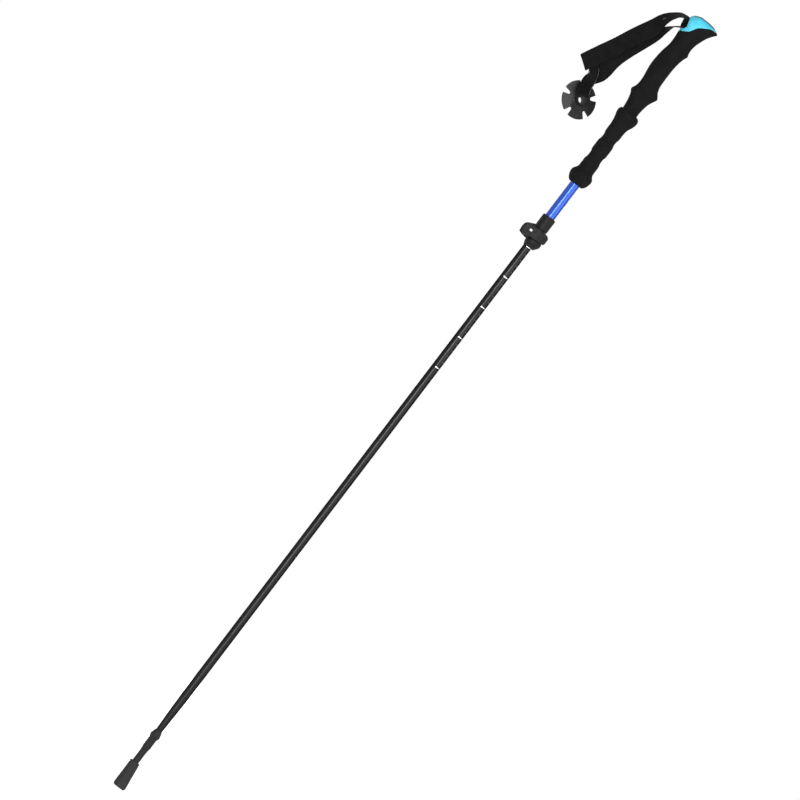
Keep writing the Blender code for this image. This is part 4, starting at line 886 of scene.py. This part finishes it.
# The strap's route, finer than the solids' and close to it: forward, up and away from the viewer in
# millimetres from the pin, twist, direction across, width. The outer band folds over and then faces
# sideways, and the inner band lies behind it.
PIN = millimetres(-5.6, 0.0, 1257.7)
OUTER_ROUTE = [
    (-2.7, 0.9, 0.0, 13.0, -0.75, -0.66, 18.0),
    (-5.1, -1.3, 0.0, 24.0, -0.73, -0.68, 18.0),
    (-6.5, -2.0, 0.0, 29.5, -0.71, -0.70, 18.0),
    (-7.65, 1.0, 0.0, 32.0, -0.75, -0.66, 18.2),
    (-8.4, 4.2, 0.0, 31.0, -0.74, -0.67, 18.4),
    (-9.1, 7.2, 0.0, 28.5, -0.74, -0.67, 18.8),
    (-9.9, 10.0, -0.1, 28.5, -0.69, -0.72, 19.0),
    (-11.8, 10.4, -0.2, 21.5, -0.42, -0.91, 19.3),
    (-13.9, 9.95, -0.3, 20.0, -0.09, -1.00, 19.8),
    (-17.2, 8.9, -0.7, 22.0, 0.26, -0.97, 20.4),
    (-20.4, 6.95, -1.1, 23.5, 0.43, -0.90, 21.0),
    (-24.7, 2.35, -1.6, 28.6, 0.59, -0.81, 22.0),
    (-29.45, -3.85, -2.3, 36.0, 0.76, -0.65, 22.8),
    (-33.5, -12.6, -3.0, 49.0, 0.85, -0.53, 23.0),
    (-37.3, -26.9, -3.6, 80.0, 0.88, -0.48, 23.0),
    (-49.1, -50.0, -4.2, 90.0, 0.89, -0.455, 23.0),
    (-60.2, -74.0, -4.4, 90.0, 0.90, -0.43, 23.0),
    (-71.9, -96.5, -4.5, 90.0, 0.89, -0.46, 23.0),
    (-83.4, -119.2, -4.5, 90.0, 0.813, -0.583, 23.0),
]
INNER_ROUTE = [
    (-4.0, -2.8, 0.0, 0.0, 0.75, -0.66, 18.0),
    (-6.6, -3.5, 0.0, 0.0, 0.75, -0.66, 18.2),
    (-9.7, -4.4, 0.1, 0.0, 0.75, -0.66, 18.4),
    (-14.2, -7.2, 0.2, 1.0, 0.70, -0.72, 19.2),
    (-17.4, -10.0, 0.3, 6.0, 0.60, -0.80, 20.0),
    (-19.7, -13.9, 0.5, 16.0, 0.60, -0.80, 20.8),
    (-23.0, -20.0, 0.9, 30.0, 0.68, -0.73, 21.6),
    (-32.4, -35.8, 2.0, 65.0, 0.91, -0.41, 23.0),
    (-47.2, -70.6, 2.8, 90.0, 0.93, -0.37, 23.0),
    (-53.5, -91.1, 2.8, 90.0, 0.95, -0.30, 23.0),
    (-55.3, -111.3, 3.0, 90.0, 0.99, -0.12, 22.0),
    (-57.3, -121.3, 4.0, 90.0, 0.96, -0.20, 20.5),
]
# The tail comes out behind the outer band and goes on over the basket
TAIL_ROUTE = [
    (-72.2, -113.3, -1.2, 90.0, 0.822, 0.569, 15.0),
    (-64.6, -121.7, -1.2, 90.0, 0.878, 0.478, 14.0),
]
# Width of the turn round the pin, and the pin's radius
TURN_WIDTH = 18.0
PIN_RADIUS = 1.8
# Places of the two bar tacks; the tail's tack sits where the tail's edge shows a glint, so its pale
# thread is partly a painted highlight
UPPER_TACK = PIN + millimetres(-32.3, -2.6, -9.3)
TAIL_GLINT_TACK = PIN + millimetres(-64.0, -1.2, -122.5)


def route_station(x, z, y, twist, across_x, across_z, width):
    """Millimetres from the pin; a twist of 90 degrees turns the webbing's face sideways."""
    turn = math.radians(twist)
    side = Vector((across_x, 0.0, across_z)).normalized()
    across = Vector((0.0, -1.0, 0.0)) * math.cos(turn) + side * math.sin(turn)
    return PIN + millimetres(x, y, z), across * width * MM / 2


# The basket's middle, its level line, the way up in its disc and the way its face points
BASKET_MIDDLE = PIN + millimetres(-58.2, -2.0, -163.0)
TILT = math.radians(28.0)
LEVEL = Vector((math.cos(LEAN) * math.cos(TILT), math.sin(TILT), math.sin(LEAN) * math.cos(TILT)))
RISE = Vector((-math.sin(LEAN), 0.0, math.cos(LEAN)))
FACE = LEVEL.cross(RISE)


def basket_station(level, rise, face, across, width):
    """Millimetres from the basket's middle, along its level line, up and out of its face."""
    centre = BASKET_MIDDLE + (LEVEL * level + RISE * rise + FACE * face) * MM
    return centre, Vector(across).normalized() * width * MM / 2


def route(from_pin, from_basket):
    """Stations of a band, first the ones from the pin and then the ones from the basket."""
    first = [route_station(*row) for row in from_pin]
    return first + [basket_station(*row) for row in from_basket]


# The ends of the inner band, behind the basket, and of the tail, on its face
INNER_END = [
    (18.5, 26.8, -2.6, (0.86, 0.25, 0.05), 19.0),
    (13.0, 21.5, -5.0, LEVEL, 18.0),
    (7.0, 13.0, -5.6, LEVEL, 17.0),
]
TAIL_END = [
    (13.2, 24.5, 4.6, (0.90, 0.22, 0.30), 16.8),
    (4.5, 17.0, 7.4, (0.80, 0.38, 0.28), 21.5),
    (-1.0, 8.8, 11.7, LEVEL - RISE * 0.19, 21.8),
    (-2.2, 4.9, 12.1, LEVEL - RISE * 0.19, 21.8),
]
# The keeper's corners in the plane of one notch, out from the middle and out of the face, and
# the rounding of those corners, in millimetres
KEEPER_CORNERS = [(3.9, 9.4), (8.7, 9.4), (12.7, 3.7), (22.4, 2.58), (22.4, -2.1), (3.9, -4.2)]
KEEPER_ROUNDING = 1.1
KEEPER_STEP = 1.0
KEEPER_RADIUS = 0.8 * MM
KEEPER_NOTCH = math.radians(4.0) + math.tau / 5


def seen_by(nodes, links, first, *others):
    """A value of 1 for the named kinds of ray and 0 for any other."""
    rays = nodes.new("ShaderNodeLightPath")
    seen = rays.outputs[first]
    for other in others:
        either = nodes.new("ShaderNodeMath")
        either.operation = "MAXIMUM"
        links.new(seen, either.inputs[0])
        links.new(rays.outputs[other], either.inputs[1])
        seen = either.outputs[0]
    return seen


# Operators, one for each piece or group


class PoleOperator:
    """What every step shares."""

    bl_options = {"REGISTER", "UNDO"}

    @property
    def finishes(self):
        return bpy.context.scene.pole_finishes


# Height that the lamps point at
LAMP_LEVEL = 0.62


class POLE_OT_stage(PoleOperator, bpy.types.Operator):
    """Set up the camera, the pale floor, the white world and the soft lamps"""

    bl_idname = "pole.stage"
    bl_label = "Stage"

    def execute(self, context):
        scene = context.scene
        studio = scene.pole_studio
        scene.view_settings.view_transform = "Standard"
        self.add_camera(scene, studio)
        self.add_floor(studio)
        self.add_world(scene, studio)
        middle = Vector((0.0, 0.0, LAMP_LEVEL))
        lamps = (
            ("key_lamp", (0.95, -3.0, 0.3), (0.9, 2.0), studio.key_power),
            ("fill_lamp", (2.7, -1.9, 0.9), (1.8, 2.4), studio.fill_power),
            ("strip_lamp", (-0.55, -3.1, 0.0), (0.5, 1.8), studio.strip_power),
            ("back_lamp", (0.3, 3.2, 0.5), (1.2, 2.0), studio.back_power),
        )
        for name, offset, size, power in lamps:
            self.add_lamp(name, middle + Vector(offset), middle, size, power)
        return {"FINISHED"}

    def add_camera(self, scene, studio):
        lens = bpy.data.cameras.new("camera")
        lens.lens = studio.focal_length
        lens.sensor_width = 36.0
        lens.clip_end = 100.0
        camera = new_object("camera", lens)
        distance = studio.frame_width * lens.lens / lens.sensor_width
        right = Vector((math.cos(studio.lean), 0.0, math.sin(studio.lean)))
        up = Vector((-math.sin(studio.lean), 0.0, math.cos(studio.lean)))
        back = Vector((0.0, -1.0, 0.0))
        turn = Matrix((right, up, back)).transposed().to_4x4()
        camera.matrix_world = Matrix.Translation(Vector(studio.aim) + back * distance) @ turn
        scene.camera = camera

    def add_floor(self, studio):
        """A pale floor that takes the pole's shadow, partly lit by itself for the camera."""
        half = studio.floor_size / 2
        corners = [(-half, -half, 0), (half, -half, 0), (half, half, 0), (-half, half, 0)]
        pale = Finish("pale_floor", (0.92, 0.92, 0.92), 0.9, specular=0.1)
        glow = pale.nodes.new("ShaderNodeEmission")
        seen = seen_by(pale.nodes, pale.links, "Is Camera Ray", "Is Glossy Ray")
        pale.put(glow.inputs["Strength"], pale.times(seen, studio.floor_white))
        both = pale.nodes.new("ShaderNodeAddShader")
        pale.links.new(pale.shader.outputs[0], both.inputs[0])
        pale.links.new(glow.outputs[0], both.inputs[1])
        pale.links.new(both.outputs[0], pale.nodes["Material Output"].inputs["Surface"])
        floor = mesh_piece("floor", corners, [(0, 1, 2, 3)], pale.material)

    def add_world(self, scene, studio):
        """A world that is white where it is seen and dimmer as a light on the pole."""
        world = bpy.data.worlds.new("white_room")
        scene.world = world
        world.use_nodes = True
        nodes, links = world.node_tree.nodes, world.node_tree.links
        background = nodes["Background"]
        background.inputs["Color"].default_value = (1.0, 1.0, 1.0, 1.0)
        strength = nodes.new("ShaderNodeMapRange")
        strength.inputs["To Min"].default_value = studio.sky
        strength.inputs["To Max"].default_value = 1.0
        seen = seen_by(nodes, links, "Is Camera Ray", "Is Glossy Ray", "Is Transmission Ray")
        links.new(seen, strength.inputs["Value"])
        links.new(strength.outputs["Result"], background.inputs["Strength"])

    def add_lamp(self, name, place, target, size, power):
        light = bpy.data.lights.new(name, "AREA")
        light.shape = "RECTANGLE"
        light.size, light.size_y = size
        light.energy = power
        lamp = new_object(name, light)
        lamp.location = place
        lamp.rotation_euler = (place - target).to_track_quat("Z", "Y").to_euler()


class POLE_OT_foot(PoleOperator, bpy.types.Operator):
    """Finish the rubber foot, the hard tip and the ferrule with its basket thread"""

    bl_idname = "pole.foot"
    bl_label = "Foot and ferrule"

    def execute(self, context):
        finish_node("rubber_foot", foot_rubber(self.finishes), 0.3 * MM)
        finish_node("tip_ferrule", tip_plastic(self.finishes), 0.15 * MM)
        finish_node("carbide_tip", steel("carbide", (0.28, 0.28, 0.29), 0.35))
        finish_node("tip_holder", bright_steel())
        return {"FINISHED"}


class POLE_OT_shafts(PoleOperator, bpy.types.Operator):
    """Finish the black shaft with its length scale, the blue tube and their plugs"""

    bl_idname = "pole.shafts"
    bl_label = "Shaft and tube"

    def execute(self, context):
        finish_node("lower_shaft", scaled_shaft(self.finishes))
        finish_node("upper_tube", blue_tube(self.finishes))
        for name in ("shaft_guide_plug", "tube_top_plug"):
            finish_node(name, tip_plastic(self.finishes))
        return {"FINISHED"}


class POLE_OT_lock(PoleOperator, bpy.types.Operator):
    """Finish the lever lock: body, lever, pin, bolt, washer and thumb nut"""

    bl_idname = "pole.lock"
    bl_label = "Lever lock"

    def execute(self, context):
        plastic = moulded_plastic("lock_plastic", self.finishes.lock_black, 0.48, 0.14)
        finish_node("lock_body", plastic, 0.25 * MM)
        finish_node("lock_lever", plastic, 0.3 * MM)
        for name in ("lever_pin", "tension_bolt", "lock_washer"):
            finish_node(name, bright_steel(), 0.1 * MM)
        blackened = steel("blackened_steel", (0.05, 0.05, 0.055), 0.38, 0.7)
        finish_node("adjusting_nut", blackened, 0.15 * MM)
        return {"FINISHED"}


class POLE_OT_grips(PoleOperator, bpy.types.Operator):
    """Build the two foam grips in place of their plain solids"""

    bl_idname = "pole.grips"
    bl_label = "Foam grips"

    def execute(self, context):
        foam = grip_foam(self.finishes)
        settings = context.scene.pole_foam
        seam = Table(CAP_SEAM)
        lower_bores = [
            (SOCKET_BORE, GRIP_LIP),
            (SOCKET_BORE, HAND_FOOT - GRIP_FOOT),
            (TUBE_BORE, HAND_FOOT - GRIP_FOOT),
            (TUBE_BORE, BORE_STEP),
            (TUBE_BORE, 0.0),
        ]
        upper_bores = [
            (SCREW_BORE, None),
            (SCREW_BORE, PLUG_TOP),
            (TUBE_BORE, PLUG_TOP),
            (TUBE_BORE, BORE_STEP),
            (TUBE_BORE, UPPER_OUTLINE[0][0]),
        ]
        low = UPPER_OUTLINE[0][0]

        def under_cap(x):
            return seam.at(x)[0] - CAP_GAP

        grips = (
            ("grip_lower", LOWER_OUTLINE, GRIP_FOOT, 0.0, lambda x: GRIP_LIP, lower_bores),
            ("grip_upper", UPPER_OUTLINE, HAND_FOOT, low, under_cap, upper_bores),
        )
        for node, *shape in grips:
            piece = foam_grip(node + "_foam", *shape, settings, foam)
            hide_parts(node)
            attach(piece, "handle")
        return {"FINISHED"}


class POLE_OT_cap(PoleOperator, bpy.types.Operator):
    """Finish the cap, its crest pad and its screw"""

    bl_idname = "pole.cap"
    bl_label = "Cap"

    def execute(self, context):
        finish_node("top_cap", cap_plastic(self.finishes), 0.25 * MM)
        soft_black = moulded_plastic("soft_black", self.finishes.crest, 0.65, 0.10)
        finish_node("crest_pad", soft_black, 0.2 * MM)
        for name in ("cap_screw", "strap_pin"):
            finish_node(name, bright_steel())
        return {"FINISHED"}


class POLE_OT_strap(PoleOperator, bpy.types.Operator):
    """Make the wrist strap's webbing: both bands as one length round the pin, and the tail"""

    bl_idname = "pole.strap"
    bl_label = "Wrist strap"

    def execute(self, context):
        strap = context.scene.pole_strap
        cloth = woven("black_webbing", self.finishes.webbing, strap.yarn)
        thread = braided("sewing_thread", self.finishes.thread, strap.thread * 1.6)
        inner = route(INNER_ROUTE, INNER_END)[::-1]
        loop_rows = along_stations(inner + self.pin_turn(strap) + route(OUTER_ROUTE, []), strap.step)
        fold = self.hem(loop_rows, strap)
        loop = webbing_strip("wrist_strap", fold, strap, cloth, 0.3 * MM)
        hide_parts("strap_outer_band", "strap_inner_band", "strap_anchor_loop")
        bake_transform(loop)

        tail_rows = along_stations(route(TAIL_ROUTE, TAIL_END), strap.step)
        tail = webbing_strip("strap_tail_webbing", tail_rows, strap, cloth)
        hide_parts("strap_tail")
        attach(tail, "strap")

        tacks = [
            bar_tack("upper_bar_tack", loop_rows, UPPER_TACK, -0.1, strap, thread, 4 * MM),
            # Pale stitches on the tail's edge, partly a painted highlight put where the edge shows a
            # glint
            bar_tack("tail_glint_tack", tail_rows, TAIL_GLINT_TACK, -0.86, strap, thread, 3 * MM),
            edge_stitches("tail_edge_stitches", tail_rows, 7 * MM, 50 * MM, 0.93, strap, thread),
        ]
        for tack in tacks:
            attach(tack, "strap")
        return {"FINISHED"}

    def pin_turn(self, strap):
        """The half turn round the pin, inside the cap."""
        radius = PIN_RADIUS * MM + strap.thickness / 2
        half = Vector((0.0, -TURN_WIDTH * MM / 2, 0.0))
        turn = []
        for i in range(9):
            angle = math.radians(-90.0 + 180.0 * i / 8)
            turn.append((PIN + Vector((math.cos(angle), 0.0, math.sin(angle))) * radius, half))
        return turn

    def hem(self, rows, strap):
        """The rows of the loop, with its end folded under and laid back along the webbing."""
        gap = strap.thickness + 0.25 * MM
        behind = Vector((0.0, 1.0, 0.0))
        end, span, distance = rows[-1]
        along, _, _ = webbing_frame(rows, len(rows) - 1)
        out = list(rows[:-1])
        for i in range(7):
            angle = math.pi * i / 6
            turn = along * math.sin(angle) + behind * (1.0 - math.cos(angle))
            out.append((end + turn * gap / 2, span, distance + gap / 2 * angle))
        distance += gap / 2 * math.pi
        last = rows[-1][2]
        for centre, half, there in reversed(rows[:-1]):
            back = last - there
            if back > strap.hem:
                break
            out.append((centre + behind * gap, half, distance + back))
        return out


class POLE_OT_basket(PoleOperator, bpy.types.Operator):
    """Finish the snow basket and make its elastic keeper"""

    bl_idname = "pole.basket"
    bl_label = "Snow basket"

    def execute(self, context):
        finish_node("basket", basket_plastic(self.finishes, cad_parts["basket"]), 0.2 * MM)
        elastic = braided("black_elastic", self.finishes.webbing, 0.8 * MM)
        points, out = self.keeper_path()
        keeper = cord_ring("basket_keeper_cord", points, out, KEEPER_RADIUS, elastic)
        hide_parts("basket_keeper")
        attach(keeper, "strap")
        return {"FINISHED"}

    def keeper_path(self):
        """The ring's middle line through the bore and one notch, with rounded corners."""
        radial = LEVEL * math.cos(KEEPER_NOTCH) + RISE * math.sin(KEEPER_NOTCH)
        corners = [Vector(corner) for corner in KEEPER_CORNERS]
        path = []
        for i, here in enumerate(corners):
            before = (corners[i - 1] - here).normalized()
            after = (corners[(i + 1) % len(corners)] - here).normalized()
            start, end = here + before * KEEPER_ROUNDING, here + after * KEEPER_ROUNDING
            for k in range(7):
                t = k / 6
                path.append(start * (1 - t) ** 2 + here * 2 * t * (1 - t) + end * t**2)
        even = []
        for i, point in enumerate(path):
            there = path[(i + 1) % len(path)]
            steps = max(1, round((there - point).length / KEEPER_STEP))
            even += [point.lerp(there, k / steps) for k in range(steps)]
        points = [BASKET_MIDDLE + (radial * along + FACE * face) * MM for along, face in even]
        return points, radial.cross(FACE)


class POLE_PT_panel(bpy.types.Panel):
    """Every step of the pole's finish, in order."""

    bl_idname = "POLE_PT_panel"
    bl_label = "Trail Running Pole"
    bl_space_type = "VIEW_3D"
    bl_region_type = "UI"
    bl_category = "Pole"

    def draw(self, context):
        layout = self.layout
        for step in STEPS:
            layout.operator(step.bl_idname)
        for group in GROUPS:
            settings = getattr(context.scene, group)
            box = layout.box()
            for name in settings.__annotations__:
                box.prop(settings, name)


STEPS = (
    POLE_OT_stage,
    POLE_OT_foot,
    POLE_OT_shafts,
    POLE_OT_lock,
    POLE_OT_grips,
    POLE_OT_cap,
    POLE_OT_strap,
    POLE_OT_basket,
)
GROUPS = {
    "pole_studio": PoleStudioSettings,
    "pole_finishes": PoleFinishSettings,
    "pole_foam": PoleFoamSettings,
    "pole_strap": PoleStrapSettings,
}
CLASSES = (*GROUPS.values(), *STEPS, POLE_PT_panel)


def register():
    for cls in CLASSES:
        bpy.utils.register_class(cls)
    for name, group in GROUPS.items():
        setattr(bpy.types.Scene, name, PointerProperty(type=group))


def unregister():
    for name in GROUPS:
        delattr(bpy.types.Scene, name)
    for cls in reversed(CLASSES):
        bpy.utils.unregister_class(cls)


def main():
    register()
    for step in STEPS:
        group, name = step.bl_idname.split(".")
        getattr(getattr(bpy.ops, group), name)()


if __name__ == "__main__":
    main()
